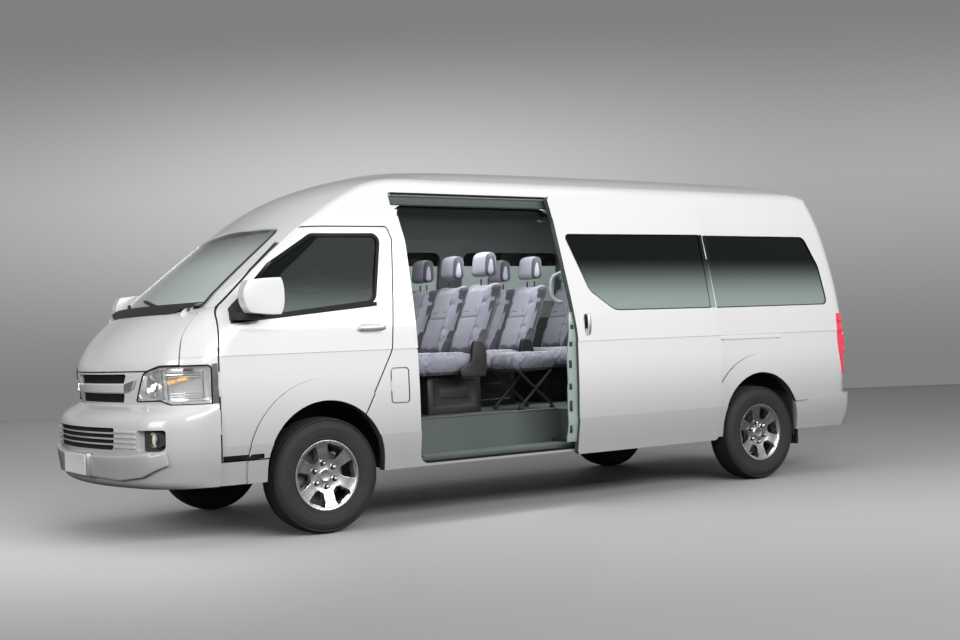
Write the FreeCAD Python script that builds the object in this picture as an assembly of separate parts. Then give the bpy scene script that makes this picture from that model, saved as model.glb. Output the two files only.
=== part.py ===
import FreeCAD, Part
import math
import os

os.makedirs("parts", exist_ok=True)
V = FreeCAD.Vector

# Sizes of the vehicle, in millimetres: +X is forward, +Y is its left side, Z is 0 on the ground
NOSE_X = 2875
TAIL_X = -2875
FRONT_AXLE_X = 1720
WHEELBASE = 3510
REAR_AXLE_X = FRONT_AXLE_X - WHEELBASE
TYRE_R = 337
TYRE_W = 205
TYRE_FACE_Y = 926
RIM_R = 206
ARCH_R = 440
OPENING_R = 378
OPENING_Z = 394
FLARE_R = 500
FLARE_Z = 405
FLARE_T = 12

# Shell thicknesses and running gaps
WALL = 50
LINER_T = 22
GLASS_T = 6
GLASS_INSET = 8
GAP = 8
FIT = 0.3

# Heights of the body
SILL_Z = 335
FLOOR_Z = 600
FLOOR_T = 30
BUMPER_TOP_Z = 790
HEADLAMP_TOP_Z = 1005
LAMP_REAR_X = 2413
BONNET_FRONT_Z = 985
GUTTER_Z = 2018

# Hinge lines and the kingpin
DOOR_FRONT_X = 2376
DOOR_HINGE_X = DOOR_FRONT_X - GAP / 2
DOOR_HINGE_Y = 934
DOOR_HINGE_ZS = (620, 830)
DOOR_CORNER_R = 300
TAILGATE_TOP_Z = 2050
TAILGATE_HINGE_X = -2630
TAILGATE_INNER_X = -2540
TAILGATE_HINGE_Z = TAILGATE_TOP_Z - GAP / 2
TAIL_LAMP_X = -2690
BONNET_HINGE_X = 2398
BONNET_HINGE_Z = 1332
BONNET_HINGE_Y = 580
BONNET_HINGE_R = 9
SMALL_HINGE_L = 20
FLAP_HINGE_X = 1290 - GAP / 2
FLAP_HINGE_Y = 940
HINGE_R = 7
HINGE_L = 45
FLAP_HINGE_R = 5
FLAP_T = 6
FLAP_RECESS = 14
KINGPIN_Y = 665
STEERING_Y = -380
STEERING_X = 1890
STEERING_Z = 1340
STEERING_TILT = 40
STEERING_R = 170

# Running gear and frame
HUB_BORE = 34
HUB_DEPTH = 110
SPOKES = 6
RAIL_Y = 400
RAIL_Z = 430
RAIL_H = 140
SPRING_Y = 520
KNUCKLE_LOW = 250
KNUCKLE_HIGH = 610

# Fog lamps and the bars of the lower grille
FOG_Y = 812
FOG_Z = 608
FOG_R = 40
FOG_DEPTH = 14
GRILLE_BAR_H = 9

# Cabin
SLIDE_T = 40
SLIDE_OUT = 56
ARCH_LINER_T = 14
SEAT_BOX_X = 1100
CAB_WALL_X = 2340
CAB_WALL_Y = 795
STEP_X0 = -225
STEP_X1 = 1085
STEP_Y = 620
STEP_Z = 380
STEP_T = 20
CAB_WALL_T = 20
SEAT_BOX_Z = 930
SEAT_BASE_H = 270
ROWS = 4
ROW_X = 160
ROW_PITCH = 680
FRONT_SEAT_X = 1205
FRONT_SEAT_DROP = 30
SEAT_W = 360
HEADREST_HALF = 125


def curve(points):
    """A smooth line through (position, value) points with no overshoot."""
    xs = [p[0] for p in points]
    ys = [p[1] for p in points]
    last = len(xs) - 1
    rise = [(ys[i + 1] - ys[i]) / (xs[i + 1] - xs[i]) for i in range(last)]
    slope = [rise[0]]
    for a, b in zip(rise, rise[1:]):
        slope.append(0 if a * b <= 0 else 2 * a * b / (a + b))
    slope.append(rise[-1])

    def value(x):
        if x <= xs[0]:
            return ys[0] + slope[0] * (x - xs[0])
        if x >= xs[-1]:
            return ys[-1] + slope[-1] * (x - xs[-1])
        i = max(k for k in range(last) if xs[k] <= x)
        h = xs[i + 1] - xs[i]
        t = (x - xs[i]) / h
        start = (2 * t**3 - 3 * t**2 + 1) * ys[i] + (t**3 - 2 * t**2 + t) * h * slope[i]
        end = (3 * t**2 - 2 * t**3) * ys[i + 1] + (t**3 - t**2) * h * slope[i + 1]
        return start + end

    return value


# Plan view of the body at each height: nose and tail on the centre line, corner radius
nose_x = curve([(250, 2690), (550, 2715), (800, 2740), (975, 2757), (1050, 2738), (1130, 2694), (1210, 2626),
                (1280, 2546), (1330, 2462), (1400, 2395), (1500, 2285), (1800, 1912), (2020, 1640), (2300, 1300)])
tail_x = curve([(250, -2785), (600, -2822), (1050, -2827), (1300, -2814), (1650, -2760), (1900, -2693),
                (2040, -2635), (2300, -2490)])
corner_r = curve([(250, 300), (800, 330), (1050, 330), (1330, 260), (1800, 220), (2300, 200)])
NOSE_PLAN_R = 2300
TAIL_PLAN_R = 4000
TAIL_CORNER_R = 110

front_lip = curve([(SILL_Z, NOSE_X - 60), (400, NOSE_X - 15), (550, NOSE_X), (690, NOSE_X - 6),
                   (750, NOSE_X - 50), (BUMPER_TOP_Z, NOSE_X - 125)])
rear_lip = curve([(SILL_Z, TAIL_X + 40), (450, TAIL_X), (550, TAIL_X), (BUMPER_TOP_Z, TAIL_X + 30)])
bumper_width = curve([(250, 893), (550, 938), (1050, 942)])

# Half width, one smooth slab between each pair of creases
SIDE_SLABS = [
    [(250, 893), (550, 940)],
    [(550, 934), (800, 940), (1050, 937)],
    [(1050, 941), (1190, 930), (1330, 912)],
    [(1330, 912), (1600, 867), (1860, 820)],
    [(1860, 816), (2020, 775), (2300, 695)],
]
SLAB_STATIONS = [4, 6, 6, 7, 4]
half_width = curve([p for slab in SIDE_SLABS for p in slab[:-1]] + [SIDE_SLABS[-1][-1]])

# Cross sections along the length: crown height, gutter height and shoulder radius
crown_z = curve([(-2870, 1810), (-2780, 1930), (-2660, 2072), (-2580, 2143), (-2490, 2194), (-2370, 2225),
                 (-2220, 2237), (-1140, 2243), (0, 2240), (650, 2228), (925, 2205), (1160, 2160), (1390, 2096),
                 (1530, 2040), (1660, 1972), (1870, 1815), (2160, 1590), (2455, 1337)])
gutter_z = curve([(-2870, 1650), (-2780, 1770), (-2660, 1917), (-2580, 1985), (-2490, 2013), (-2370, GUTTER_Z),
                  (1000, GUTTER_Z), (1160, 2008), (1360, 1960), (1498, 1892), (1668, 1800), (1870, 1650),
                  (2200, 1380), (2455, 1170)])
shoulder_r = curve([(-2870, 70), (-2780, 80), (-2660, 110), (-2580, 130), (-2370, 165), (1000, 170), (1500, 140),
                    (1870, 110), (2455, 100)])
SHOULDER_LEAN = math.radians(25)
SECTION_X = [-2870, -2780, -2660, -2580, -2490, -2370, -2100, -1500, -700, 0, 500, 800, 1000, 1160, 1300, 1450,
             1600, 1750, 1900, 2050, 2200, 2350, 2455]
OUTSIDE_Y = 1250


def box(x0, x1, y0, y1, z0, z1):
    return Part.makeBox(x1 - x0, y1 - y0, z1 - z0, V(x0, y0, z0))


def rod(start, end, radius):
    a, b = V(*start), V(*end)
    return Part.makeCylinder(radius, (b - a).Length, a, b - a)


def mirrored(shape):
    return shape.mirror(V(0, 0, 0), V(0, 1, 0))


def left_and_right(shape):
    return Part.makeCompound([shape, mirrored(shape)])


def line(a, b):
    return Part.LineSegment(a, b).toShape()


def arc(a, b, c):
    return Part.Arc(a, b, c).toShape()


def outline(points, place, radius=0):
    """A closed wire through (u, v) or (u, v, radius) corners, each one rounded."""
    count = len(points)
    corners = [(V(p[0], p[1], 0), p[2] if len(p) > 2 else radius) for p in points]
    edges = []
    ends = []
    for i, (here, r) in enumerate(corners):
        back = corners[i - 1][0] - here
        ahead = corners[(i + 1) % count][0] - here
        half = back.getAngle(ahead) / 2
        back.normalize()
        ahead.normalize()
        run = r / math.tan(half) if r else 0
        start = here + back * run
        end = here + ahead * run
        middle = (back + ahead).normalize() * (r / math.sin(half) - r) + here if r else here
        ends.append((start, middle, end, r))
    for i, (start, middle, end, r) in enumerate(ends):
        if r:
            edges.append(arc(place(start), place(middle), place(end)))
        following = ends[(i + 1) % count][0]
        if (following - end).Length > 0.01:
            edges.append(line(place(end), place(following)))
    return Part.Wire(edges)


def side_prism(points, y0, y1, radius=0, grow=0):
    wire = outline(points, lambda p: V(p.x, y0, p.y), radius)
    return prism_of(wire, V(0, y1 - y0, 0), grow)


def front_prism(points, x0, x1, radius=0, grow=0):
    wire = outline(points, lambda p: V(x0, p.x, p.y), radius)
    return prism_of(wire, V(x1 - x0, 0, 0), grow)


def plan_prism(points, z0, z1, radius=0, grow=0):
    wire = outline(points, lambda p: V(p.x, p.y, z0), radius)
    return prism_of(wire, V(0, 0, z1 - z0), grow)


def prism_of(wire, way, grow):
    face = Part.Face(wire)
    if grow:
        face = face.makeOffset2D(grow)
    return face.extrude(way)


def two_sided(points):
    """An outline symmetric about y = 0, from the points of its left half."""
    return points + [(p[0], -p[1]) + tuple(p[2:]) for p in reversed(points)]


def two_sided_front(points):
    return points + [(-p[0],) + tuple(p[1:]) for p in reversed(points)]


def corner_arc(end_x, plan_r, r, w, way):
    """Start, middle and end of the round corner between a side and a bowed end."""
    centre_x = end_x - way * plan_r
    cy = w - r
    reach = math.sqrt((plan_r - r) ** 2 - cy**2)
    length = math.hypot(reach, cy)
    touch = (centre_x + way * reach / length * plan_r, cy / length * plan_r)
    turn = (math.atan2(cy, reach) + math.pi / 2) / 2
    cx = centre_x + way * reach
    middle = (cx + way * r * math.cos(turn), cy + r * math.sin(turn))
    return (cx, w), middle, touch


def waterline(z, width, nose, tail, inset):
    w = width(z) - inset
    nose_slope = (nose(z + 1) - nose(z - 1)) / 2
    tail_slope = (tail(z + 1) - tail(z - 1)) / 2
    front = nose(z) - inset * math.hypot(1, nose_slope)
    rear = tail(z) + inset * math.hypot(1, tail_slope)
    a, b, c = corner_arc(front, NOSE_PLAN_R - inset, corner_r(z) - inset, w, 1)
    d, e, f = corner_arc(rear, TAIL_PLAN_R - inset, TAIL_CORNER_R - inset, w, -1)

    def left(p):
        return V(p[0], p[1], z)

    def right(p):
        return V(p[0], -p[1], z)

    return Part.Wire([
        arc(left(a), left(b), left(c)), arc(left(c), V(front, 0, z), right(c)),
        arc(right(c), right(b), right(a)), line(right(a), right(d)),
        arc(right(d), right(e), right(f)), arc(right(f), V(rear, 0, z), left(f)),
        arc(left(f), left(e), left(d)), line(left(d), left(a)),
    ])


def side_loft(inset):
    slabs = []
    for points, stations in zip(SIDE_SLABS, SLAB_STATIONS):
        width = curve(points)
        low, high = points[0][0], points[-1][0]
        step = (high - low) / (stations - 1)
        wires = [waterline(low + step * i, width, nose_x, tail_x, inset) for i in range(stations)]
        slabs.append(Part.makeLoft(wires, True, False))
    return slabs[0].fuse(slabs[1:])


def section(x, inset):
    crown = crown_z(x)
    gutter = gutter_z(x)
    r = shoulder_r(x)
    slope = (crown_z(x + 1) - crown_z(x - 1)) / 2
    t = inset * math.hypot(1, slope)
    cy = half_width(gutter) - r * math.cos(SHOULDER_LEAN)
    cz = gutter - r * math.sin(SHOULDER_LEAN)
    drop = cz - crown
    big = (cy**2 + drop**2 - r**2) / (-2 * (r + drop))
    centre = crown - big
    length = math.hypot(cy, cz - centre)
    big -= t
    r -= t
    touch = (cy / length * big, centre + (cz - centre) / length * big)
    turn = (math.atan2(cz - centre, cy) + SHOULDER_LEAN) / 2
    middle = (cy + r * math.cos(turn), cz + r * math.sin(turn))
    crease = (cy + r * math.cos(SHOULDER_LEAN), cz + r * math.sin(SHOULDER_LEAN))
    skirt = (OUTSIDE_Y, crease[1] - (OUTSIDE_Y - crease[0]) / math.tan(SHOULDER_LEAN))
    foot = (OUTSIDE_Y, 100)

    def left(p):
        return V(x, p[0], p[1])

    def right(p):
        return V(x, -p[0], p[1])

    return Part.Wire([
        line(left(foot), left(skirt)), line(left(skirt), left(crease)),
        arc(left(crease), left(middle), left(touch)), arc(left(touch), V(x, 0, centre + big), right(touch)),
        arc(right(touch), right(middle), right(crease)), line(right(crease), right(skirt)),
        line(right(skirt), right(foot)), line(right(foot), left(foot)),
    ])


def hull(inset):
    """The body's outer form, or the same form smaller by a wall thickness."""
    over = Part.makeLoft([section(x, inset) for x in SECTION_X], True, False)
    ahead = box(SECTION_X[-1], SECTION_X[-1] + 600, -OUTSIDE_Y, OUTSIDE_Y, 100, 1500)
    return side_loft(inset).common(over.fuse(ahead))


def wheel_disc(x, radius, y0, y1):
    return rod((x, y0, TYRE_R), (x, y1, TYRE_R), radius)


def arch_opening(x):
    """The way through the body side for a wheel: round above, with straight sides below."""
    top = rod((x, -OUTSIDE_Y, OPENING_Z), (x, OUTSIDE_Y, OPENING_Z), OPENING_R)
    return top.fuse(box(x - OPENING_R, x + OPENING_R, -OUTSIDE_Y, OUTSIDE_Y, SILL_Z - 50, OPENING_Z))


def bumper_hull(inset):
    levels = [SILL_Z, 400, 470, 550, 620, 690, 740, BUMPER_TOP_Z]
    return Part.makeLoft([waterline(z, bumper_width, front_lip, rear_lip, inset) for z in levels], True, False)


def write(node, shape):
    solids = shape.Solids
    good = all(s.isValid() for s in solids)
    print(node, len(solids), "solids", "valid" if good else "NOT VALID", round(shape.Volume / 1e6, 1), "litres")
    Part.makeCompound(solids).exportStep(f"parts/{node}.step")


# The skin: hull less its inside, with a flare round each wheel arch and the arches open
OUTER = hull(0)
INNER = hull(WALL)
FLARE = side_loft(-FLARE_T)
arches = [arch_opening(x) for x in (FRONT_AXLE_X, REAR_AXLE_X)]
flare_zone = [rod((x, -OUTSIDE_Y, FLARE_Z), (x, OUTSIDE_Y, FLARE_Z), FLARE_R) for x in (FRONT_AXLE_X, REAR_AXLE_X)]
flares = FLARE.common(Part.makeCompound(flare_zone)).common(box(-2300, 2300, -OUTSIDE_Y, OUTSIDE_Y, SILL_Z, 950))
SKIN = OUTER.fuse(flares).cut([INNER] + arches)
SKIN_MIDDLE = hull(WALL - LINER_T)
GLASS_OUT = hull(GLASS_INSET)
GLASS_IN = hull(GLASS_INSET + GLASS_T)

# Outlines in side view (x, z)
FRONT_DOOR = [(1800, 1790, 60), (2094, 1541, 200), (2350, 1300, 90), (DOOR_FRONT_X, 1040, 400), (DOOR_FRONT_X, 463, 10),
              (1600, 463, 10), (1470, 666, 30), (1268, 1040, 120), (1190, 1716, 40), (1218, 1795, 30)]
FRONT_WINDOW = [(2006, 1564, 120), (2275, 1300, 25), (2230, 1246, 25), (1363, 1335, 60), (1280, 1742, 45),
                (1736, 1736, 60)]
SLIDE_OPENING = [(1142, 1930, 60), (1100, 1700, 300), (1085, 350, 60), (-225, 350, 90), (-60, 1930, 120)]
QUARTER_FRONT = [(-340, 1765, 40), (-1325, 1765, 25), (-1325, 1245, 25), (-520, 1245, 120)]
QUARTER_REAR = [(-1370, 1765, 25), (-2400, 1765, 70), (-2510, 1540, 200), (-2545, 1250, 45), (-1370, 1245, 25)]
SLIDE_DOOR = [(5, 2008, 30), (-90, 1100, 500), (-78, 318, 25), (-1330, 318, 40), (-1365, 1000, 200), (-1302, 1860, 60),
              (-1280, 2008, 30)]
SLIDE_GLASS = [(-75, 1757, 30), (-225, 1380, 120), (-420, 1245, 140), (-1305, 1245, 30), (-1290, 1765, 30)]
RIGHT_FRONT_GLASS = [(1040, 1760, 60), (-190, 1760, 60), (-190, 1245, 60), (1080, 1245, 60)]
RIGHT_MIDDLE_GLASS = [(-400, 1760, 60), (-1325, 1760, 60), (-1325, 1245, 60), (-400, 1245, 60)]
ROOF_LINE = [(-3000, 1700), (-2660, 1927), (-2560, 1992), (-2460, 2014), (1190, GUTTER_Z), (1363, 2002), (1498, 1950),
             (1668, 1855), (1779, 1782), (1900, 1690), (1900, 2500), (-3000, 2500)]
FUEL_FLAP = [(1160, 940, 25), (1290, 940, 25), (1290, 725, 25), (1160, 725, 25)]

REAR_BUMPER = [(-2120, 543), (-2737, 579), (-3000, 579), (-3000, SILL_Z), (-2120, SILL_Z)]
RAIL_CHANNEL = [(1175, 2008, 20), (1165, 1900, 20), (-80, 1900, 20), (-70, 2008, 20)]

# Outlines in front view (y, z)
TAILGATE = two_sided_front([(800, 600, 40), (800, 1180, 200), (615, TAILGATE_TOP_Z, 80)])
TAILGATE_WINDOW = two_sided_front([(690, 1250, 60), (600, 1790, 60)])
LAMP_INNER = [(500, 812, 5), (600, 972, 50), (730, HEADLAMP_TOP_Z, 40), (1200, HEADLAMP_TOP_Z, 5), (1200, 792, 5),
              (790, 791, 30), (715, 816, 30)]
FOG_RECESS = [(700, 545, 15), (700, 662, 15), (862, 662, 15), (862, 545, 30)]
TAIL_LAMP = [(OUTSIDE_Y, 1180, 5), (840, 1180, 20), (820, 730, 20), (OUTSIDE_Y, 730, 5)]

# Outlines in plan view (x, y)
WINDSCREEN = two_sided([(2452, 250, 150), (2366, 722, 50), (1815, 622, 60), (1858, 250, 200)])
BONNET = two_sided([(2474, 250, 150), (2398, 726, 25), (2525, 782, 60), (2690, 1000, 5), (3000, 1000, 5)])

FAR = OUTSIDE_Y
front_door_hole = side_prism(FRONT_DOOR, 0, FAR)
front_door_zone = side_prism(FRONT_DOOR, 0, FAR, grow=-GAP)
front_window_zone = side_prism(FRONT_WINDOW, 0, FAR)
slide_hole = side_prism(SLIDE_OPENING, 0, FAR)
quarter_zone = side_prism(QUARTER_FRONT, 0, FAR).fuse(side_prism(QUARTER_REAR, 0, FAR))
roof_zone = side_prism(ROOF_LINE, -FAR, FAR)
windscreen_zone = plan_prism(WINDSCREEN, 1000, 2000)
bonnet_zone = plan_prism(BONNET, BONNET_FRONT_Z, 1500)
bonnet_hole = plan_prism(BONNET, BONNET_FRONT_Z - GAP, 1500, grow=GAP)
tailgate_hole = front_prism(TAILGATE, -3000, TAILGATE_INNER_X)
tailgate_zone = front_prism(TAILGATE, -3000, TAILGATE_INNER_X, grow=-GAP)
tailgate_window_zone = front_prism(TAILGATE_WINDOW, -3000, TAILGATE_INNER_X)
lamp_front = front_prism(LAMP_INNER, 2000, 3000)
headlamp_left = lamp_front.common(box(LAMP_REAR_X, 3000, 0, FAR, BUMPER_TOP_Z, HEADLAMP_TOP_Z))
headlamp_zone = headlamp_left.fuse(mirrored(headlamp_left))
lamp_clear = front_prism(LAMP_INNER, 2000, 3000, grow=GAP)
headlamp_clearance = lamp_clear.fuse(mirrored(lamp_clear))
tail_lamp_left = front_prism(TAIL_LAMP, -3000, TAIL_LAMP_X)
door_corner = rod((DOOR_HINGE_X, DOOR_HINGE_Y, 1215), (DOOR_HINGE_X, DOOR_HINGE_Y, 1500), DOOR_CORNER_R)
door_foot = box(2250, DOOR_FRONT_X, 866, FAR, FLOOR_Z - FLOOR_T - 1, FLOOR_Z + 1)
door_room = left_and_right(Part.makeCompound([door_corner, door_foot]))
nose_zone = box(DOOR_FRONT_X, 3000, -FAR, FAR, SILL_Z, 1500)
front_bumper_zone = box(DOOR_FRONT_X, 3000, -FAR, FAR, SILL_Z, BUMPER_TOP_Z)
grille_zone = box(2500, 3000, -560, 560, BUMPER_TOP_Z, BONNET_FRONT_Z - GAP).cut(headlamp_zone)
rear_bumper_zone = side_prism(REAR_BUMPER, -FAR, FAR)
body_zone = box(-3000, DOOR_FRONT_X, 0, FAR, SILL_Z, 2500)
fog_zone = front_prism(FOG_RECESS, 2300, 3000)
bumper_inside = bumper_hull(WALL)
bumper_skin = bumper_hull(0).cut(bumper_inside)
rear_bumper = bumper_skin.common(rear_bumper_zone).cut(arches)


def pane(zone):
    return GLASS_OUT.common(zone).cut(GLASS_IN)


nose_skin = SKIN.common(nose_zone)
rest_skin = SKIN.cut([box(DOOR_FRONT_X, 3000, -FAR, FAR, 0, 1400), windscreen_zone])
left_skin = rest_skin.common(body_zone).cut(roof_zone)


def knuckle(start, way, index, radius, length, grow=0):
    """One round knuckle of a hinge, or with grow the clearance around it."""
    along = V(*way)
    foot = V(*start) + along * ((length + FIT) * index - grow)
    return Part.makeCylinder(radius + grow, length + 2 * grow, foot, along)


class Hinge:
    """A three-knuckle hinge: the outer knuckles are fixed and the middle one moves."""

    def __init__(self, start, way, radius=HINGE_R, length=HINGE_L):
        self.outer = [knuckle(start, way, i, radius, length) for i in (0, 2)]
        self.outer_room = [knuckle(start, way, i, radius, length, FIT) for i in (0, 2)]
        self.middle = [knuckle(start, way, 1, radius, length)]
        self.middle_room = [knuckle(start, way, 1, radius, length, FIT)]


def with_fixed(panel, hinges):
    return panel.cut([k for h in hinges for k in h.middle_room]).fuse([k for h in hinges for k in h.outer])


def with_moving(panel, hinges):
    return panel.cut([k for h in hinges for k in h.outer_room]).fuse([k for h in hinges for k in h.middle])


def make_side_panels():
    shell = left_skin.cut([tailgate_hole, tail_lamp_left, rear_bumper_zone, front_door_hole])
    shell, *small = sorted(shell.Solids, key=lambda solid: -solid.Volume)
    write("front_posts", left_and_right(Part.makeCompound(small)))
    channel = side_prism(RAIL_CHANNEL, 0, FAR).cut(SKIN_MIDDLE)
    hinge = Hinge((FLAP_HINGE_X, FLAP_HINGE_Y, 802), (0, 0, 1), FLAP_HINGE_R, SMALL_HINGE_L)
    recess = side_prism(FUEL_FLAP, FLAP_HINGE_Y - FLAP_RECESS, FAR)
    flap = side_prism(FUEL_FLAP, FLAP_HINGE_Y - FLAP_T, FAR, grow=-GAP).common(OUTER)
    left = shell.cut([slide_hole, centre_rail(), quarter_zone, recess, channel] + hinge.middle_room)
    write("side_panel_left", left.fuse(hinge.outer))
    write("fuel_flap", with_moving(flap, [hinge]))
    windows = [side_prism(RIGHT_FRONT_GLASS, 0, FAR), side_prism(RIGHT_MIDDLE_GLASS, 0, FAR),
               side_prism(QUARTER_REAR, 0, FAR)]
    window_zone = Part.makeCompound(windows)
    write("side_panel_right", mirrored(shell.cut(window_zone)))
    write("side_glass", Part.makeCompound([pane(quarter_zone), mirrored(pane(window_zone))]))


def make_roof_and_tailgate():
    top = rest_skin.common(roof_zone).cut(tailgate_hole)
    gate = SKIN.common(tailgate_zone).cut(tailgate_window_zone)
    hinges = [Hinge((TAILGATE_HINGE_X, y, TAILGATE_HINGE_Z), (0, 1, 0)) for y in (-205, 205 - 3 * HINGE_L)]
    write("roof_panel", with_fixed(top.cut(SKIN_MIDDLE), hinges))
    write("headliner", top.common(SKIN_MIDDLE))
    write("tailgate", with_moving(gate, hinges))
    write("tailgate_glass", pane(tailgate_window_zone))


def bonnet_leaf(y):
    """The flat arm that carries the bonnet's rear edge out to its hinge knuckle."""
    x, z = BONNET_HINGE_X, BONNET_HINGE_Z
    points = [(x, z + 7), (x, z), (x + 20, z - 8), (x + 32, z - 40), (x + 60, z - 60), (x + 60, z - 32), (x + 28, z - 3)]
    return side_prism(points, y, y + SMALL_HINGE_L)


def bonnet_foot(y):
    """The block on the cowl under a fixed knuckle of the bonnet's hinge."""
    x, z = BONNET_HINGE_X, BONNET_HINGE_Z
    return box(x - 4, x + 5, y, y + SMALL_HINGE_L, z - 40, z)


def make_nose():
    fenders = nose_skin.cut([front_bumper_zone, headlamp_zone, grille_zone, bonnet_hole, windscreen_zone])
    bonnet = nose_skin.common(bonnet_zone).cut(headlamp_clearance)
    step = SMALL_HINGE_L + FIT
    first = [BONNET_HINGE_Y, -BONNET_HINGE_Y - 3 * step]
    bonnet = bonnet.fuse([bonnet_leaf(y + step) for y in first])
    fenders = fenders.fuse([bonnet_foot(y + step * i) for y in first for i in (0, 2)])
    across = [Hinge((BONNET_HINGE_X, y, BONNET_HINGE_Z), (0, 1, 0), BONNET_HINGE_R, SMALL_HINGE_L) for y in first]
    low, high = [Hinge((DOOR_HINGE_X, DOOR_HINGE_Y, z), (0, 0, 1)) for z in DOOR_HINGE_ZS]
    other_low, other_high = [Hinge((DOOR_HINGE_X, -DOOR_HINGE_Y, z), (0, 0, 1)) for z in DOOR_HINGE_ZS]
    leaf = with_moving(left_skin.common(front_door_zone).cut(front_window_zone), [low, high])
    bonnet = with_moving(bonnet, across)
    write("front_bumper", with_fixed(front_bumper(), [low, other_low]))
    write("front_fenders", with_fixed(fenders, across + [high, other_high]))
    write("front_door_left", leaf)
    write("front_door_right", mirrored(leaf))
    write("bonnet", bonnet)
    write("windscreen", pane(windscreen_zone))
    write("headlamps", nose_skin.common(headlamp_zone))
    write("tail_lamps", left_and_right(left_skin.common(tail_lamp_left)))
    upper = front_prism(two_sided_front([(390, 915, 10), (426, 968, 10)]), 2400, 3000)
    lower = front_prism(two_sided_front([(360, 806, 12), (384, 858, 10)]), 2400, 3000)
    bar = side_loft(-14).cut(side_loft(12)).common(box(2500, 3000, -405, 405, 865, 908))
    write("front_grille", nose_skin.common(grille_zone).cut([upper, lower, bar]))
    write("grille_bar", bar)


def front_bumper():
    mouth = front_prism(two_sided_front([(480, 550, 20), (492, 673, 20)]), 2400, 3000)
    nose = bumper_skin.common(front_bumper_zone).cut([mouth, fog_zone, mirrored(fog_zone)])
    bars = [box(2600, 2900, -500, 500, z, z + GRILLE_BAR_H) for z in (576, 607, 638)]
    depth = bumper_hull(6).cut(bumper_hull(24))
    return nose.fuse([b.common(depth).common(mouth) for b in bars])


def make_bumper_parts():
    back_plate = bumper_hull(WALL - 8).cut(bumper_inside).common(fog_zone)
    lamp = rod((2560, FOG_Y, FOG_Z), (2760, FOG_Y, FOG_Z), FOG_R).cut(bumper_inside).common(bumper_hull(FOG_DEPTH))
    write("fog_lamps", left_and_right(back_plate.fuse(lamp)))
    write("rear_bumper", rear_bumper)


def make_door_fittings():
    glass = pane(front_window_zone)
    write("door_glass_left", glass)
    write("door_glass_right", mirrored(glass))
    foot = plan_prism([(2335, 880), (2290, 1010), (2200, 1010), (2285, 880)], 1235, 1300, 5).cut(OUTER)
    head = side_prism([(2060, 1275), (2050, 1470), (2240, 1475), (2275, 1290)], 985, 1110, 40)
    mirror = head.fuse(foot)
    write("mirror_left", mirror)
    write("mirror_right", mirrored(mirror))


def make_sliding_door():
    door = OUTER.cut(side_loft(SLIDE_T)).common(side_prism(SLIDE_DOOR, 0, FAR))
    hole = side_prism(SLIDE_GLASS, 0, FAR)
    away = V(0, SLIDE_OUT, 0)
    door = door.cut(hole).translated(away)
    write("sliding_door", door)
    write("sliding_door_glass", pane(hole).translated(away))
    centre = centre_rail().cut(INNER)
    roller = box(-1430, -1350, 925, 957, 1022, 1038).cut(door)
    upper_rail = box(-225, 1142, 706, 800, 1932, 1962).common(INNER)
    upper_arm = box(-38, -14, 706, 850, 1850, 1875).fuse(box(-38, -14, 706, 728, 1850, 1940)).cut(door)
    lower_arm = box(-170, -110, 640, 940, 380, 410).cut(door)
    write("slide_rails", Part.makeCompound([centre.fuse(roller), upper_rail.fuse(upper_arm), lower_arm]))


def centre_rail():
    return box(-2010, -1340, 880, 945, 1018, 1042).common(FLARE)


def wheel_profile(points, x, y_face):
    """A solid of revolution about a wheel's axle, from (radius, depth in from the tyre's face) points."""
    wire = outline(points, lambda p: V(x, y_face - p.y, TYRE_R + p.x))
    return Part.Face(wire).revolve(V(x, 0, TYRE_R), V(0, 1, 0), 360)


def make_wheels():
    w = TYRE_W
    tyre = [(RIM_R - 8, 22, 8), (RIM_R + 20, 4, 12), (TYRE_R - 50, 0, 30), (TYRE_R, 18, 22), (TYRE_R, w - 18, 22),
            (TYRE_R - 50, w, 30), (RIM_R + 20, w - 4, 12), (RIM_R - 8, w - 22, 8)]
    barrel = [(RIM_R - 8 - FIT, 14, 3), (RIM_R - 8 - FIT, w - 14, 3), (RIM_R - 26, w - 14, 3), (RIM_R - 26, 60, 10),
              (RIM_R - 20, 14, 3)]
    for end, x in (("front", FRONT_AXLE_X), ("rear", REAR_AXLE_X)):
        tyre_left = wheel_profile(tyre, x, TYRE_FACE_Y)
        rim = wheel_profile(barrel, x, TYRE_FACE_Y)
        disc = wheel_profile([(HUB_BORE, 60, 0), (60, 30, 6), (RIM_R - 22, 22, 4), (RIM_R - 22, 45, 4), (70, 60, 4),
                              (70, HUB_DEPTH, 4), (HUB_BORE, HUB_DEPTH, 0)], x, TYRE_FACE_Y)
        rim = rim.fuse(disc)
        windows = []
        for k in range(SPOKES):
            window = side_prism([(-26, 80, 12), (26, 80, 12), (60, RIM_R - 34, 18), (-60, RIM_R - 34, 18)], 700, 950)
            window.rotate(V(0, 0, 0), V(0, 1, 0), (k + 0.5) * 360 / SPOKES)
            windows.append(window.translated(V(x, 0, TYRE_R)))
        rim = rim.cut(windows)
        write(f"tyre_{end}_left", tyre_left)
        write(f"tyre_{end}_right", mirrored(tyre_left))
        write(f"rim_{end}_left", rim)
        write(f"rim_{end}_right", mirrored(rim))


def make_knuckles():
    hub = rod((FRONT_AXLE_X, KINGPIN_Y, TYRE_R), (FRONT_AXLE_X, TYRE_FACE_Y - HUB_DEPTH - 6, TYRE_R), 48)
    stub = rod((FRONT_AXLE_X, KINGPIN_Y, TYRE_R), (FRONT_AXLE_X, TYRE_FACE_Y - 62, TYRE_R), HUB_BORE - FIT)
    post = rod((FRONT_AXLE_X, KINGPIN_Y, KNUCKLE_LOW), (FRONT_AXLE_X, KINGPIN_Y, KNUCKLE_HIGH), 24)
    knuckle = hub.fuse([stub, post])
    write("knuckle_left", knuckle)
    write("knuckle_right", mirrored(knuckle))


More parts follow.
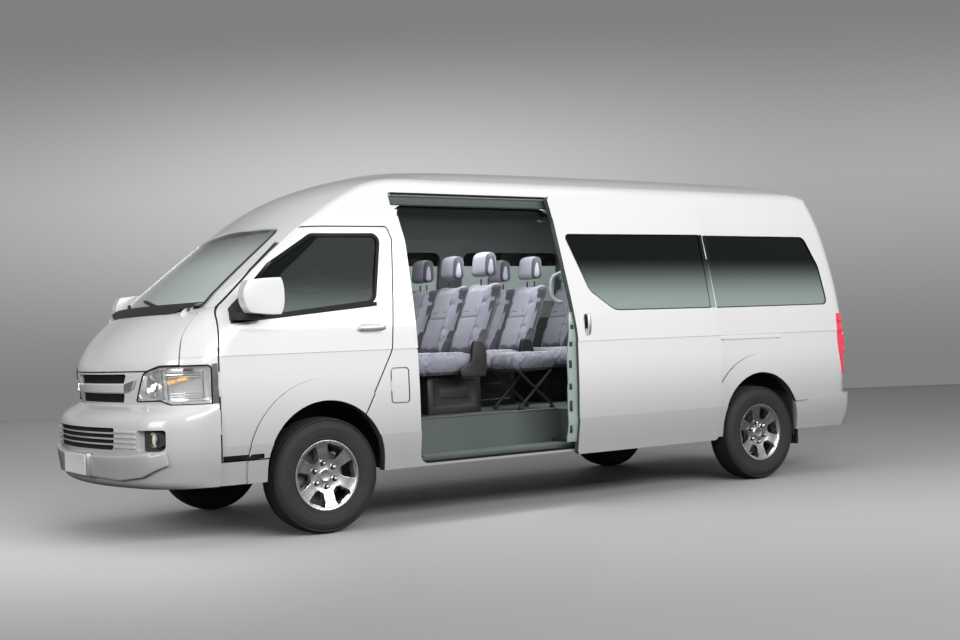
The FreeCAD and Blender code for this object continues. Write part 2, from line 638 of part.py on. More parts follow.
def make_suspension():
    x = FRONT_AXLE_X
    low = box(x - 32, x + 32, RAIL_Y - 20, KINGPIN_Y + 28, KNUCKLE_LOW - 30, KNUCKLE_LOW - FIT)
    high = box(x - 30, x + 30, RAIL_Y - 20, KINGPIN_Y + 28, KNUCKLE_HIGH + FIT, KNUCKLE_HIGH + 24)
    hanger = box(x - 55, x + 55, RAIL_Y - 40, RAIL_Y + 40, KNUCKLE_LOW - 30, RAIL_Z)
    tower = box(x - 30, x + 30, RAIL_Y - 40, RAIL_Y + 40, RAIL_Z + RAIL_H, KNUCKLE_HIGH + 24)
    side = low.fuse([high, hanger, tower])
    write("front_suspension", left_and_right(side))
    ax = REAR_AXLE_X
    end_y = TYRE_FACE_Y - HUB_DEPTH - 6
    axle = rod((ax, -end_y, TYRE_R), (ax, end_y, TYRE_R), 42)
    axle = axle.fuse(rod((ax, 62 - TYRE_FACE_Y, TYRE_R), (ax, TYRE_FACE_Y - 62, TYRE_R), HUB_BORE - FIT))
    axle = axle.fuse(Part.makeSphere(125, V(ax, 0, TYRE_R)))
    spring_low = TYRE_R + 38
    profile = [(ax - 640, RAIL_Z + 20), (ax, spring_low), (ax + 640, RAIL_Z + 20)]
    a, b, c = [V(p[0], SPRING_Y, p[1]) for p in profile]
    up = V(0, 0, 26)
    spring = Part.Face(Part.Wire([arc(a, b, c), line(c, c + up), arc(c + up, b + up, a + up), line(a + up, a)]))
    spring = spring.extrude(V(0, 60, 0))
    hangers = [box(ax + s - 25, ax + s + 25, RAIL_Y + 40, SPRING_Y + 60, RAIL_Z + 10, RAIL_Z + 70) for s in (-630, 630)]
    write("rear_axle", axle.fuse([spring, mirrored(spring)] + hangers + [mirrored(h) for h in hangers]))


def make_chassis():
    rail = box(-2600, 2560, RAIL_Y - 40, RAIL_Y + 40, RAIL_Z, RAIL_Z + RAIL_H)
    cross = [box(x - 40, x + 40, -RAIL_Y, RAIL_Y, RAIL_Z + 20, RAIL_Z + RAIL_H - 20)
             for x in (-2540, -1150, -350, 450, 2480)]
    bed = box(1480, 1580, -RAIL_Y - 40, RAIL_Y + 40, RAIL_Z - 50, RAIL_Z)
    write("chassis_frame", rail.fuse([mirrored(rail), bed] + cross))
    write("engine_block", box(1200, 1880, -300, 300, RAIL_Z, 830))
    tank = box(0, 900, -760, -470, 330, FLOOR_Z - FLOOR_T)
    write("fuel_tank", tank.makeFillet(40, [e for e in tank.Edges if e.CenterOfMass.z < 340]))


def arch_ring(x, y0, y1):
    ring = wheel_disc(x, ARCH_R + ARCH_LINER_T, y0, y1).cut(wheel_disc(x, ARCH_R, y0, y1))
    return ring.common(box(x - 600, x + 600, y0, y1, SILL_Z, 900))


def make_floor():
    width = INNER.common(box(-2700, 2420, -FAR, FAR, FLOOR_Z - FLOOR_T, FLOOR_Z))
    front_well = wheel_disc(FRONT_AXLE_X, ARCH_R + ARCH_LINER_T, 470, 1000)
    rear_well = wheel_disc(REAR_AXLE_X, ARCH_R + ARCH_LINER_T, 638, 1000)
    wells = left_and_right(front_well.fuse(rear_well))
    step = box(STEP_X0 + STEP_T, STEP_X1 - STEP_T, STEP_Y, FAR, STEP_Z, FLOOR_Z + 1)
    tray = box(STEP_X0, STEP_X1, STEP_Y - STEP_T, 880, STEP_Z - STEP_T, FLOOR_Z - FLOOR_T).common(INNER)
    rear_floor = width.common(box(-2700, SEAT_BOX_X, -FAR, FAR, 0, 700)).cut(wells)
    write("floor_pan", rear_floor.fuse(tray).cut(step))
    front_floor = width.common(box(SEAT_BOX_X, 2420, -FAR, FAR, 0, 700)).cut(wells)
    front_floor = front_floor.cut(box(SEAT_BOX_X - 1, 1960, -460, 460, 0, 700))
    platform = box(SEAT_BOX_X, 1960, -885, 885, FLOOR_Z - FLOOR_T, SEAT_BOX_Z)
    platform = platform.common(INNER).cut(box(SEAT_BOX_X + 20, 1940, -865, 865, 0, SEAT_BOX_Z - 20)).cut(wells)
    wall = INNER.common(box(CAB_WALL_X, CAB_WALL_X + CAB_WALL_T, -CAB_WALL_Y, CAB_WALL_Y, FLOOR_Z, 1290))
    write("cab_floor", front_floor.fuse([platform, wall]).cut(door_room))
    rear = arch_ring(REAR_AXLE_X, 650, 884)
    inner_wall = wheel_disc(REAR_AXLE_X, ARCH_R + ARCH_LINER_T, 638, 650).common(box(-2500, -1000, 600, 700, 450, 900))
    flap = box(REAR_AXLE_X - 458, REAR_AXLE_X - 440, 700, 850, 220, SILL_Z + 60)
    front = arch_ring(FRONT_AXLE_X, 470, 884).common(INNER)
    rear = rear.common(INNER).cut(rear_bumper).fuse([inner_wall, flap])
    write("wheelhouses", Part.makeCompound([left_and_right(rear), left_and_right(front)]))


def seat(x, y, width, base_z, drop=0):
    """One seat facing forward: a cushion, a leaning back and a headrest. x is the headrest's place."""
    half = width / 2
    top = base_z + 580 - drop
    cushion = box(x + 200, x + 680, y - half, y + half, base_z, base_z + 130)
    lean = [(x + 110, base_z + 90), (x + 235, base_z + 100), (x + 45, top), (x - 55, top)]
    back = side_prism(lean, y - half, y + half, 30)
    head = side_prism([(x - 65, top + 28), (x + 52, top + 22), (x + 45, top + 228), (x - 50, top + 228)],
                      y - HEADREST_HALF, y + HEADREST_HALF, 25)
    stalk = box(x - 15, x - 5, y - 40, y + 40, top - 20, top + 50)
    return cushion.fuse([back, head, stalk])


def folding_leg(x, y, base_z):
    """Two flat bars crossing like an X under a folding seat."""
    ahead = side_prism([(x, FLOOR_Z), (x + 22, FLOOR_Z), (x + 290, base_z), (x + 268, base_z)], y, y + 14)
    back = side_prism([(x + 268, FLOOR_Z), (x + 290, FLOOR_Z), (x + 22, base_z), (x, base_z)], y, y + 14)
    return ahead.fuse(back)


def make_seats():
    base = FLOOR_Z + SEAT_BASE_H
    boxes = []
    jumps = []
    for row in range(ROWS):
        x = ROW_X - ROW_PITCH * row
        ys, far = [-100, -500], -230
        if row == 0:
            ys, far = [300, -100, -500], 330
        if row == ROWS - 1:
            ys, far = [555, 185, -185, -555], 600
        write(f"seat_row_{row + 1}", Part.makeCompound([seat(x, y, SEAT_W, base) for y in ys]))
        boxes.append(box(x + 80, x + 500, -600, far, FLOOR_Z, base))
        if 0 < row < ROWS - 1:
            pad = box(x + 220, x + 600, 150, 500, base, base + 110)
            jumps.append(pad.fuse([folding_leg(x + 260, y, base) for y in (170, 466)]))
    write("seat_bases", Part.makeCompound(boxes))
    write("jump_seats", Part.makeCompound(jumps))
    front = [seat(FRONT_SEAT_X, y, w, SEAT_BOX_Z, FRONT_SEAT_DROP) for y, w in ((500, 480), (60, 380), (-460, 500))]
    write("front_seats", Part.makeCompound(front))


def make_dashboard():
    shape = side_prism([(CAB_WALL_X, 1350), (CAB_WALL_X, 820), (2280, 800), (2180, 900), (2080, 1240), (2110, 1330)],
                       -CAB_WALL_Y, CAB_WALL_Y, 20)
    write("dashboard", shape.common(INNER).cut(door_room))
    tilt = math.radians(STEERING_TILT)
    axis = V(math.cos(tilt), 0, -math.sin(tilt))
    centre = V(STEERING_X, STEERING_Y, STEERING_Z)
    ring = Part.makeTorus(STEERING_R, 14, centre, axis)
    hub = Part.makeCylinder(55, 50, centre - axis * 10, axis)
    spokes = []
    for angle in (0, 180, 90):
        spoke = Part.makeBox(STEERING_R, 30, 12, V(0, -15, 0))
        spoke.rotate(V(0, 0, 0), V(0, 0, 1), angle)
        spoke.rotate(V(0, 0, 0), V(0, 1, 0), 90 + STEERING_TILT)
        spokes.append(spoke.translated(centre + axis * 6))
    wheel = ring.fuse([hub] + spokes)
    write("steering_wheel", wheel)
    column = Part.makeCylinder(35, 260, centre + axis * (40 + FIT), axis)
    write("steering_column", column.cut(shape))


make_side_panels()
make_roof_and_tailgate()
make_nose()
make_bumper_parts()
make_door_fittings()
make_sliding_door()
make_wheels()
make_knuckles()
make_suspension()
make_chassis()
make_floor()
make_seats()
make_dashboard()
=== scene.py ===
# %% [markdown]
# # A high-roof minibus with its side door open
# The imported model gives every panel, wheel and seat its real place, in metres.
# +X is forward, +Y is the vehicle's left and Z is 0 on the ground.
# This lesson keeps the panels whose shape is right, gives them paint, glass and rubber, and builds the
# pieces that a plain solid can't show: wheels, lamps, seats, seals and trim.

# %% Loading the frame
import math
import bmesh
import bpy
from mathutils import Matrix, Vector


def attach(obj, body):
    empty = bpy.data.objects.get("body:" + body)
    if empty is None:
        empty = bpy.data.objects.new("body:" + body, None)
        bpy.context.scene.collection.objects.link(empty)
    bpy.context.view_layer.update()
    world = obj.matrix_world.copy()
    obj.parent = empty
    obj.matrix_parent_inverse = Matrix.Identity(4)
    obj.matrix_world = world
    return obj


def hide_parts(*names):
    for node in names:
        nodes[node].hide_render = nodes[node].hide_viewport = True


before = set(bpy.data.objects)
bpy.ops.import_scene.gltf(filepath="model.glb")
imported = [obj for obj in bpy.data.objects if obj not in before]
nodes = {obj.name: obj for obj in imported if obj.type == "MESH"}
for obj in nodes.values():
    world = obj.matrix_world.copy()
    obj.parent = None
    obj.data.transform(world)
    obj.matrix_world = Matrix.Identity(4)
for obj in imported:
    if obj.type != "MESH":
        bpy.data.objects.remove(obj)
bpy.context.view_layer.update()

# %% [markdown]
# ## The camera
# The photograph was taken from ahead of the left front corner, about a metre above the ground.
# A photographer would use a tripod, which is rarely quite level, so the view has a small roll.
# The camera's three axes are worked out from its heading, pitch and roll, and set as one matrix.

# %% Placing the camera
CAMERA_PLACE = Vector((5.275, 7.827, 1.089))
CAMERA_HEADING = math.radians(-123.97)
CAMERA_PITCH = math.radians(0.82)
CAMERA_ROLL = math.radians(-2.23)
CAMERA_LENS = 50.1

ahead = Vector((
    math.cos(CAMERA_HEADING) * math.cos(CAMERA_PITCH),
    math.sin(CAMERA_HEADING) * math.cos(CAMERA_PITCH),
    math.sin(CAMERA_PITCH),
))
level = ahead.cross(Vector((0, 0, 1))).normalized()
upright = level.cross(ahead)
across = math.cos(CAMERA_ROLL) * level + math.sin(CAMERA_ROLL) * upright
above = math.cos(CAMERA_ROLL) * upright - math.sin(CAMERA_ROLL) * level
bpy.ops.object.camera_add(location=CAMERA_PLACE)
camera = bpy.context.object
camera.matrix_world = Matrix.Translation(CAMERA_PLACE) @ Matrix((across, above, -ahead)).transposed().to_4x4()
camera.data.lens = CAMERA_LENS
camera.data.clip_end = 200
bpy.context.scene.camera = camera
print("camera looks along", ahead)

# %% [markdown]
# ## Floor, backdrop and lamps
# A car studio has a seamless pale floor, a graded backdrop and large soft lamps.
# The floor is one wide plane. Its colour carries painted light: darker near the camera and far off,
# and paler on the left.
# The light that it throws up is darker than what is seen of it, so the underside stays in shadow.
# The backdrop is an upright wall with a soft glow behind the roof.

# %% Making the floor and the world
FLOOR_REACH = 60
FLOOR_PALE = 0.47
FLOOR_DIM = 0.27
FLOOR_BELOW = 0.07
FLOOR_NEAR = 4.4
FLOOR_BRIGHT = 8.2
SIDE_LEFT = -0.28
SIDE_LIT = -0.05
LEFT_GAIN = 2.6
WALL_DISTANCE = 23
WALL_HEIGHT = 9.5
FAR_START = 10.0
FAR_SHADE = 0.78
WALL_LOW = 0.215
WALL_GLOW = 0.38
GLOW_RISE = (0.3, 3.8)
GLOW_FALL = (6.7, 3.6)
GLOW_LEFT = 1.7
GLOW_REACH = 8.0
GLOW_EDGE = 0.48
WORLD_FILL = 0.30


def calc(tree, kind, first, second):
    """One sum in a node tree, of sockets or plain numbers."""
    node = tree.nodes.new("ShaderNodeMath")
    node.operation = kind
    for socket, value in zip(node.inputs, (first, second)):
        if isinstance(value, (int, float)):
            socket.default_value = value
        else:
            tree.links.new(value, socket)
    return node.outputs["Value"]


def eased(tree, value, start, end, low=0.0, high=1.0):
    """Runs softly from low to high as a value goes from start to end."""
    node = tree.nodes.new("ShaderNodeMapRange")
    node.interpolation_type = "SMOOTHSTEP"
    for name, number in (("From Min", start), ("From Max", end), ("To Min", low), ("To Max", high)):
        node.inputs[name].default_value = number
    tree.links.new(value, node.inputs["Value"])
    return node.outputs["Result"]


def stage_plane(name, size, place, turn):
    """A plane of the studio, whose own X runs to the camera's right."""
    bpy.ops.mesh.primitive_plane_add(size=1)
    piece = bpy.context.object
    piece.name = name
    piece.scale = (size[0], size[1], 1)
    bpy.ops.object.transform_apply(location=False, rotation=False, scale=True)
    piece.location = place
    piece.rotation_euler = turn
    stuff = bpy.data.materials.new(name + "_grey")
    stuff.use_nodes = True
    piece.data.materials.append(stuff)
    split = stuff.node_tree.nodes.new("ShaderNodeSeparateXYZ")
    coords = stuff.node_tree.nodes.new("ShaderNodeTexCoord")
    stuff.node_tree.links.new(coords.outputs["Object"], split.inputs["Vector"])
    return stuff.node_tree, split


facing = CAMERA_HEADING - math.pi / 2
ground_spot = Vector((CAMERA_PLACE.x, CAMERA_PLACE.y, 0))
tree, split = stage_plane("studio_floor", (2 * FLOOR_REACH, 2 * FLOOR_REACH), ground_spot, (0, 0, facing))
# Painted light: the floor's seen colour is darker near the camera and far off, brighter between, and paler on
# the left.
slant = calc(tree, "DIVIDE", split.outputs["X"], calc(tree, "MAXIMUM", split.outputs["Y"], 1.0))
near = eased(tree, split.outputs["Y"], FLOOR_NEAR, FLOOR_BRIGHT)
left = eased(tree, slant, SIDE_LEFT, SIDE_LIT, LEFT_GAIN, 1.0)
far = eased(tree, split.outputs["Y"], FAR_START, WALL_DISTANCE, 1.0, FAR_SHADE)
shade = calc(tree, "MULTIPLY", calc(tree, "MULTIPLY", near, left), far)
shade = calc(tree, "ADD", calc(tree, "MULTIPLY", shade, FLOOR_PALE - FLOOR_DIM), FLOOR_DIM)
rays = tree.nodes.new("ShaderNodeLightPath")
seen = calc(tree, "MULTIPLY", rays.outputs["Is Camera Ray"], calc(tree, "SUBTRACT", shade, FLOOR_BELOW))
tree.links.new(calc(tree, "ADD", seen, FLOOR_BELOW), tree.nodes["Principled BSDF"].inputs["Base Color"])
tree.nodes["Principled BSDF"].inputs["Roughness"].default_value = 0.6
tree.nodes["Principled BSDF"].inputs["Specular IOR Level"].default_value = 0.1

wall_spot = ground_spot + Vector((math.cos(CAMERA_HEADING), math.sin(CAMERA_HEADING), 0)) * WALL_DISTANCE
wall_spot.z = WALL_HEIGHT / 2 - 0.01
wall_size = (3 * FLOOR_REACH, WALL_HEIGHT + 4)
tree, split = stage_plane("studio_wall", wall_size, wall_spot, (math.pi / 2, 0, facing))
rise = eased(tree, split.outputs["Y"], GLOW_RISE[0] - wall_spot.z, GLOW_RISE[1] - wall_spot.z)
fall = eased(tree, split.outputs["Y"], GLOW_FALL[0] - wall_spot.z, GLOW_FALL[1] - wall_spot.z)
from_middle = calc(tree, "ABSOLUTE", calc(tree, "ADD", split.outputs["X"], GLOW_LEFT), 0)
side = eased(tree, from_middle, GLOW_REACH, 0.0, GLOW_EDGE, 1.0)
glow = calc(tree, "MULTIPLY", calc(tree, "MULTIPLY", rise, fall), side)
glow = calc(tree, "ADD", calc(tree, "MULTIPLY", glow, WALL_GLOW), WALL_LOW)
lit = tree.nodes.new("ShaderNodeEmission")
tree.links.new(glow, lit.inputs["Color"])
tree.links.new(lit.outputs["Emission"], tree.nodes["Material Output"].inputs["Surface"])

world = bpy.data.worlds.new("studio")
bpy.context.scene.world = world
world.use_nodes = True
fill = world.node_tree.nodes["Background"]
fill.inputs["Color"].default_value = (1, 1, 1, 1)
fill.inputs["Strength"].default_value = WORLD_FILL
print("floor, wall and world made")


# %% Hanging the lamps
def soft_lamp(name, place, target, size, power):
    """A square soft box that faces its target."""
    bpy.ops.object.light_add(type="AREA", location=place)
    lamp = bpy.context.object
    lamp.name = name
    lamp.data.shape = "RECTANGLE"
    lamp.data.size = size[0]
    lamp.data.size_y = size[1]
    lamp.data.energy = power
    lamp.rotation_mode = "QUATERNION"
    lamp.rotation_quaternion = (Vector(target) - Vector(place)).to_track_quat("-Z", "Y")
    return lamp


soft_lamp("overhead_box", (0.3, 1.0, 6.4), (0, 0.2, 0), (9, 5), 70)
soft_lamp("side_box", (0.3, 7.5, 3.9), (-0.5, 0, 1.4), (10, 2.4), 600)
soft_lamp("nose_box", (9.0, 1.5, 3.2), (2.5, 0, 1.1), (4, 3), 210)
soft_lamp("cabin_box", (-0.35, 0.35, 1.93), (-0.35, 0.1, 0.5), (2.2, 0.7), 30)
bpy.context.scene.view_settings.view_transform = "Standard"
print("four soft lamps light the vehicle")

# %% [markdown]
# ## Helpers
# A modeller picks faces by hand; here they are picked in code, by their place or the way they face.
# Everything is deselected before a new piece starts, because an operator acts on all that is selected.

# %% Small tools for modelling
def deselect_all():
    """Leaves edit mode and selects nothing."""
    if bpy.context.object and bpy.context.object.mode != "OBJECT":
        bpy.ops.object.mode_set(mode="OBJECT")
    bpy.ops.object.select_all(action="DESELECT")


def name_new(name):
    """Names the object that an operator has just added, and puts its place into its mesh."""
    piece = bpy.context.object
    piece.name = name
    bpy.ops.object.transform_apply(location=True, rotation=True, scale=True)
    return piece


def block(name, low, high):
    """A box between two corners, ready to be shaped."""
    deselect_all()
    low, high = Vector(low), Vector(high)
    bpy.ops.mesh.primitive_cube_add(size=1, location=(low + high) / 2)
    bpy.context.object.scale = high - low
    return name_new(name)


def drum(name, centre, radius, depth, axis="Z", sides=48):
    """A round bar about its centre, lying along X, Y or Z."""
    deselect_all()
    turn = {"X": (0, math.pi / 2, 0), "Y": (math.pi / 2, 0, 0), "Z": (0, 0, 0)}[axis]
    bpy.ops.mesh.primitive_cylinder_add(
        vertices=sides, radius=radius, depth=depth, location=centre, rotation=turn)
    return name_new(name)


def edit(piece, mode="FACE"):
    """Opens a piece in edit mode with nothing selected."""
    deselect_all()
    bpy.context.view_layer.objects.active = piece
    piece.select_set(True)
    bpy.ops.object.mode_set(mode="EDIT")
    bpy.ops.mesh.select_mode(type=mode)
    bpy.ops.mesh.select_all(action="DESELECT")
    return bmesh.from_edit_mesh(piece.data)


def done():
    """Leaves edit mode."""
    bpy.ops.object.mode_set(mode="OBJECT")


def pick_faces(piece, test):
    """Selects the faces that pass a test, in edit mode."""
    mesh = bmesh.from_edit_mesh(piece.data)
    bpy.ops.mesh.select_all(action="DESELECT")
    count = 0
    for face in mesh.faces:
        if test(face):
            face.select = True
            count += 1
    mesh.select_flush(True)
    bmesh.update_edit_mesh(piece.data)
    return count


def pick_edges(piece, test):
    """Selects the edges that pass a test, in edit mode."""
    mesh = bmesh.from_edit_mesh(piece.data)
    bpy.ops.mesh.select_all(action="DESELECT")
    for edge in mesh.edges:
        if test(edge):
            edge.select = True
    bmesh.update_edit_mesh(piece.data)


def modify(piece, kind, **settings):
    """Adds one modifier and applies it, so the piece keeps a plain mesh."""
    deselect_all()
    bpy.context.view_layer.objects.active = piece
    piece.select_set(True)
    modifier = piece.modifiers.new(kind.lower(), kind)
    for key, value in settings.items():
        setattr(modifier, key, value)
    bpy.ops.object.modifier_apply(modifier=modifier.name)
    return piece


def round_edges(piece, width, steps=2, sharp=30):
    """Breaks the sharp edges, as a moulded or pressed piece has them."""
    return modify(piece, "BEVEL", width=width, segments=steps, limit_method="ANGLE",
                  angle_limit=math.radians(sharp))


def smooth(piece, angle=35):
    """Shades a piece smooth, but for edges sharper than an angle."""
    deselect_all()
    bpy.context.view_layer.objects.active = piece
    piece.select_set(True)
    bpy.ops.object.shade_smooth_by_angle(angle=math.radians(angle))
    return piece


def join(name, pieces):
    """Makes several meshes one piece."""
    deselect_all()
    for piece in pieces:
        piece.select_set(True)
    bpy.context.view_layer.objects.active = pieces[0]
    if len(pieces) > 1:
        bpy.ops.object.join()
    pieces[0].name = name
    return pieces[0]


def copy_of(piece, name, move=(0, 0, 0), mirror_y=False, turn=None):
    """A copy with its own mesh, moved, turned or mirrored to the other side of the vehicle."""
    twin = piece.copy()
    twin.data = piece.data.copy()
    twin.name = name
    twin.hide_viewport = False
    twin.hide_render = False
    bpy.context.scene.collection.objects.link(twin)
    if turn is not None:
        twin.data.transform(turn)
    twin.data.transform(Matrix.Translation(Vector(move)))
    if mirror_y:
        twin.data.transform(Matrix.Scale(-1, 4, Vector((0, 1, 0))))
        twin.data.flip_normals()
    twin.data.update()
    return twin


def fit(piece, body, slot, finish, angle=35):
    """Gives a finished piece its look and the body that it moves with."""
    if angle:
        smooth(piece, angle)
    piece.data.materials.clear()
    piece.data.materials.append(finish)
    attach(piece, body)
    return piece


def fit_pair(piece, slot, finish, angle=35, body="body"):
    """Fits a piece of the left side, and its mirrored copy on the right."""
    twin = copy_of(piece, piece.name.replace("left", "right"), mirror_y=True)
    fit(twin, body.replace("left", "right"), slot, finish, angle)
    fit(piece, body, slot, finish, angle)
    return twin


print("modelling tools ready")

# %% [markdown]
# ## Paint, rubber, cloth and glass
# Each finish is a shader with its plain values on its own sockets, and nodes only for what varies over it.
# A pattern reads Object coordinates, which are metres on the real vehicle, so a grain has its real scale.

# %% Making a finish
def new_finish(name, colour, roughness, metallic=0.0, coat=0.0, alpha=1.0, sheen=0.0):
    """A material with plain values only."""
    stuff = bpy.data.materials.new(name)
    stuff.use_nodes = True
    shader = stuff.node_tree.nodes["Principled BSDF"]
    shader.inputs["Base Color"].default_value = (*colour, 1)
    shader.inputs["Roughness"].default_value = roughness
    shader.inputs["Metallic"].default_value = metallic
    shader.inputs["Coat Weight"].default_value = coat
    shader.inputs["Coat Roughness"].default_value = 0.04
    shader.inputs["Sheen Weight"].default_value = sheen
    shader.inputs["Alpha"].default_value = alpha
    return stuff


def node_of(stuff, kind, **values):
    """Adds a node and sets its inputs by name, with an underscore for a space."""
    node = stuff.node_tree.nodes.new(kind)
    for key, value in values.items():
        node.inputs[key.replace("_", " ")].default_value = value
    return node


def link(stuff, start, end):
    """Leads one node's output into another node's input."""
    stuff.node_tree.links.new(start, end)


def shader_of(stuff):
    """The node that a finish started with."""
    return stuff.node_tree.nodes["Principled BSDF"]


def object_place(stuff):
    """A point's place on the object, in metres."""
    return node_of(stuff, "ShaderNodeTexCoord").outputs["Object"]


def mixed_colour(stuff, factor, first, second):
    """A mix of two colours; the first may be a socket that already holds one."""
    node = node_of(stuff, "ShaderNodeMix")
    node.data_type = "RGBA"
    link(stuff, factor, node.inputs["Factor"])
    if isinstance(first, tuple):
        node.inputs[6].default_value = (*first, 1)
    else:
        link(stuff, first, node.inputs[6])
    node.inputs[7].default_value = (*second, 1)
    return node.outputs[2]


def mottle(stuff, first, second, scale):
    """Lets the colour drift between two tones, as pigment, dust and wear do."""
    noise = node_of(stuff, "ShaderNodeTexNoise", Scale=scale, Detail=4)
    link(stuff, object_place(stuff), noise.inputs["Vector"])
    tone = mixed_colour(stuff, noise.outputs["Fac"], first, second)
    link(stuff, tone, shader_of(stuff).inputs["Base Color"])
    return stuff


def grain(stuff, scale, depth, kind="ShaderNodeTexNoise"):
    """A fine raised grain, as moulded plastic, rubber and paint have."""
    pattern = node_of(stuff, kind, Scale=scale)
    bump = node_of(stuff, "ShaderNodeBump", Strength=0.6, Distance=depth)
    link(stuff, object_place(stuff), pattern.inputs["Vector"])
    output = "Distance" if kind == "ShaderNodeTexVoronoi" else "Fac"
    link(stuff, pattern.outputs[output], bump.inputs["Height"])
    link(stuff, bump.outputs["Normal"], shader_of(stuff).inputs["Normal"])
    return stuff


def wear(stuff, scale, low, high):
    """Lets the roughness drift, so that a highlight breaks up as on a handled surface."""
    noise = node_of(stuff, "ShaderNodeTexNoise", Scale=scale, Detail=5)
    spread = node_of(stuff, "ShaderNodeMapRange", To_Min=low, To_Max=high)
    link(stuff, object_place(stuff), noise.inputs["Vector"])
    link(stuff, noise.outputs["Fac"], spread.inputs["Value"])
    link(stuff, spread.outputs["Result"], shader_of(stuff).inputs["Roughness"])
    return stuff


def fade_along(stuff, start, end, first, second, axis="Z"):
    """Runs from one colour to a second between two places along an axis, which is the height as a rule."""
    split = node_of(stuff, "ShaderNodeSeparateXYZ")
    link(stuff, object_place(stuff), split.inputs["Vector"])
    share = eased(stuff.node_tree, split.outputs[axis], start, end)
    link(stuff, mixed_colour(stuff, share, first, second), shader_of(stuff).inputs["Base Color"])
    return stuff


def glow_softly(stuff, colour, strength):
    """Gives a finish a light of its own."""
    shader_of(stuff).inputs["Emission Color"].default_value = (*colour, 1)
    shader_of(stuff).inputs["Emission Strength"].default_value = strength
    return stuff


print("finish tools ready")

# %% [markdown]
# ## Pearl white paint
# Car paint is a white base under a hard clear coat, so its gloss lies on top of its colour. Low on the body
# a painted shade makes it greyer, where the sides turn under and face the ground. A panel's outer face is
# painted and polished, and its inner face and edges are jamb paint, a dark grey-green. One material does both:
# it mixes two shaders by the way the surface faces in the panel's own space.

# %% Mixing the paint
PEARL = (0.80, 0.80, 0.80)
# Painted shade: the paint runs to this grey low on the body.
PEARL_PAINTED_SHADE = (0.44, 0.44, 0.445)
SHADE_LOW_Z = 0.36
SHADE_HIGH_Z = 1.0
PAINT_ROUGH = 0.32
JAMB = (0.085, 0.105, 0.10)
JAMB_DEEP = (0.06, 0.075, 0.072)
JAMB_ROUGH = 0.45


def outer_paint(name):
    """Clear-coated paint with a painted shade that makes it greyer low on the body."""
    stuff = new_finish(name, PEARL, PAINT_ROUGH, coat=1.0)
    return fade_along(stuff, SHADE_LOW_Z, SHADE_HIGH_Z, PEARL_PAINTED_SHADE, PEARL)


def painted_panel(name, axis, threshold):
    """Paint on the face that looks away from the vehicle's middle, and jamb finish on the rest."""
    stuff = outer_paint(name)
    tree = stuff.node_tree
    place = node_of(stuff, "ShaderNodeTexCoord")
    noise = node_of(stuff, "ShaderNodeTexNoise", Scale=3, Detail=3)
    link(stuff, place.outputs["Object"], noise.inputs["Vector"])
    lining = node_of(stuff, "ShaderNodeBsdfPrincipled", Roughness=JAMB_ROUGH)
    link(stuff, mixed_colour(stuff, noise.outputs["Fac"], JAMB, JAMB_DEEP), lining.inputs["Base Color"])
    splits = []
    for output in ("Normal", "Object"):
        split = node_of(stuff, "ShaderNodeSeparateXYZ")
        link(stuff, place.outputs[output], split.inputs["Vector"])
        splits.append(split.outputs[axis])
    outward = calc(tree, "MULTIPLY", splits[0], calc(tree, "SIGN", splits[1], 0))
    both = node_of(stuff, "ShaderNodeMixShader")
    link(stuff, calc(tree, "GREATER_THAN", outward, threshold), both.inputs["Fac"])
    link(stuff, lining.outputs["BSDF"], both.inputs[1])
    link(stuff, shader_of(stuff).outputs["BSDF"], both.inputs[2])
    link(stuff, both.outputs["Shader"], tree.nodes["Material Output"].inputs["Surface"])
    return stuff


pearl_paint = outer_paint("pearl_paint")
side_paint = painted_panel("side_paint", "Y", 0.3)
gate_paint = painted_panel("gate_paint", "X", 0.05)
print("paint mixed")

# %% [markdown]
# ## Glass, rubber, plastic and metal
# Every pane is darker at its top and paler lower down, so its colour runs with height: the pale lower part is
# a painted reflection of the studio. Rubber and moulded plastic get a fine grain, and metal a roughness that
# drifts.

# %% Mixing the other finishes
GLASS_LOW_Z = 1.27
GLASS_HIGH_Z = 1.60
CAB_LOW_Z = 1.22
CAB_HIGH_Z = 1.50
SCREEN_LOW_Z = 1.55
SCREEN_HIGH_Z = 1.90
# Painted reflection: each pane's colour turns paler toward its foot, where the studio shows in the glass.
cab_glass = new_finish("cab_glass", (0.12, 0.15, 0.14), 0.03, alpha=0.86)
fade_along(cab_glass, CAB_LOW_Z, CAB_HIGH_Z, (0.14, 0.18, 0.17), (0.008, 0.012, 0.012))
privacy_glass = new_finish("privacy_glass", (0.02, 0.03, 0.03), 0.05, alpha=0.93)
fade_along(privacy_glass, GLASS_LOW_Z, GLASS_HIGH_Z, (0.30, 0.36, 0.345), (0.004, 0.006, 0.006))
screen_glass = new_finish("screen_glass", (0.11, 0.14, 0.13), 0.03, alpha=0.72)
fade_along(screen_glass, SCREEN_LOW_Z, SCREEN_HIGH_Z, (0.60, 0.67, 0.655), (0.05, 0.065, 0.062))
for glass, gloss in ((cab_glass, 0.06), (privacy_glass, 0.3), (screen_glass, 0.35)):
    shader_of(glass).inputs["Specular IOR Level"].default_value = gloss
seal_rubber = grain(new_finish("seal_rubber", (0.006, 0.006, 0.0065), 0.5), 900, 0.0003)
shader_of(seal_rubber).inputs["Specular IOR Level"].default_value = 0.2
gloss_black = wear(new_finish("gloss_black", (0.008, 0.008, 0.009), 0.15, coat=0.6), 12, 0.12, 0.22)
moulded_black = grain(new_finish("moulded_black", (0.02, 0.02, 0.021), 0.6), 700, 0.0004)
mottle(moulded_black, (0.018, 0.018, 0.019), (0.028, 0.028, 0.028), 6)
charcoal_cover = grain(new_finish("charcoal_cover", (0.011, 0.011, 0.012), 0.5), 600, 0.0005)
mottle(charcoal_cover, (0.010, 0.010, 0.011), (0.017, 0.017, 0.018), 5)
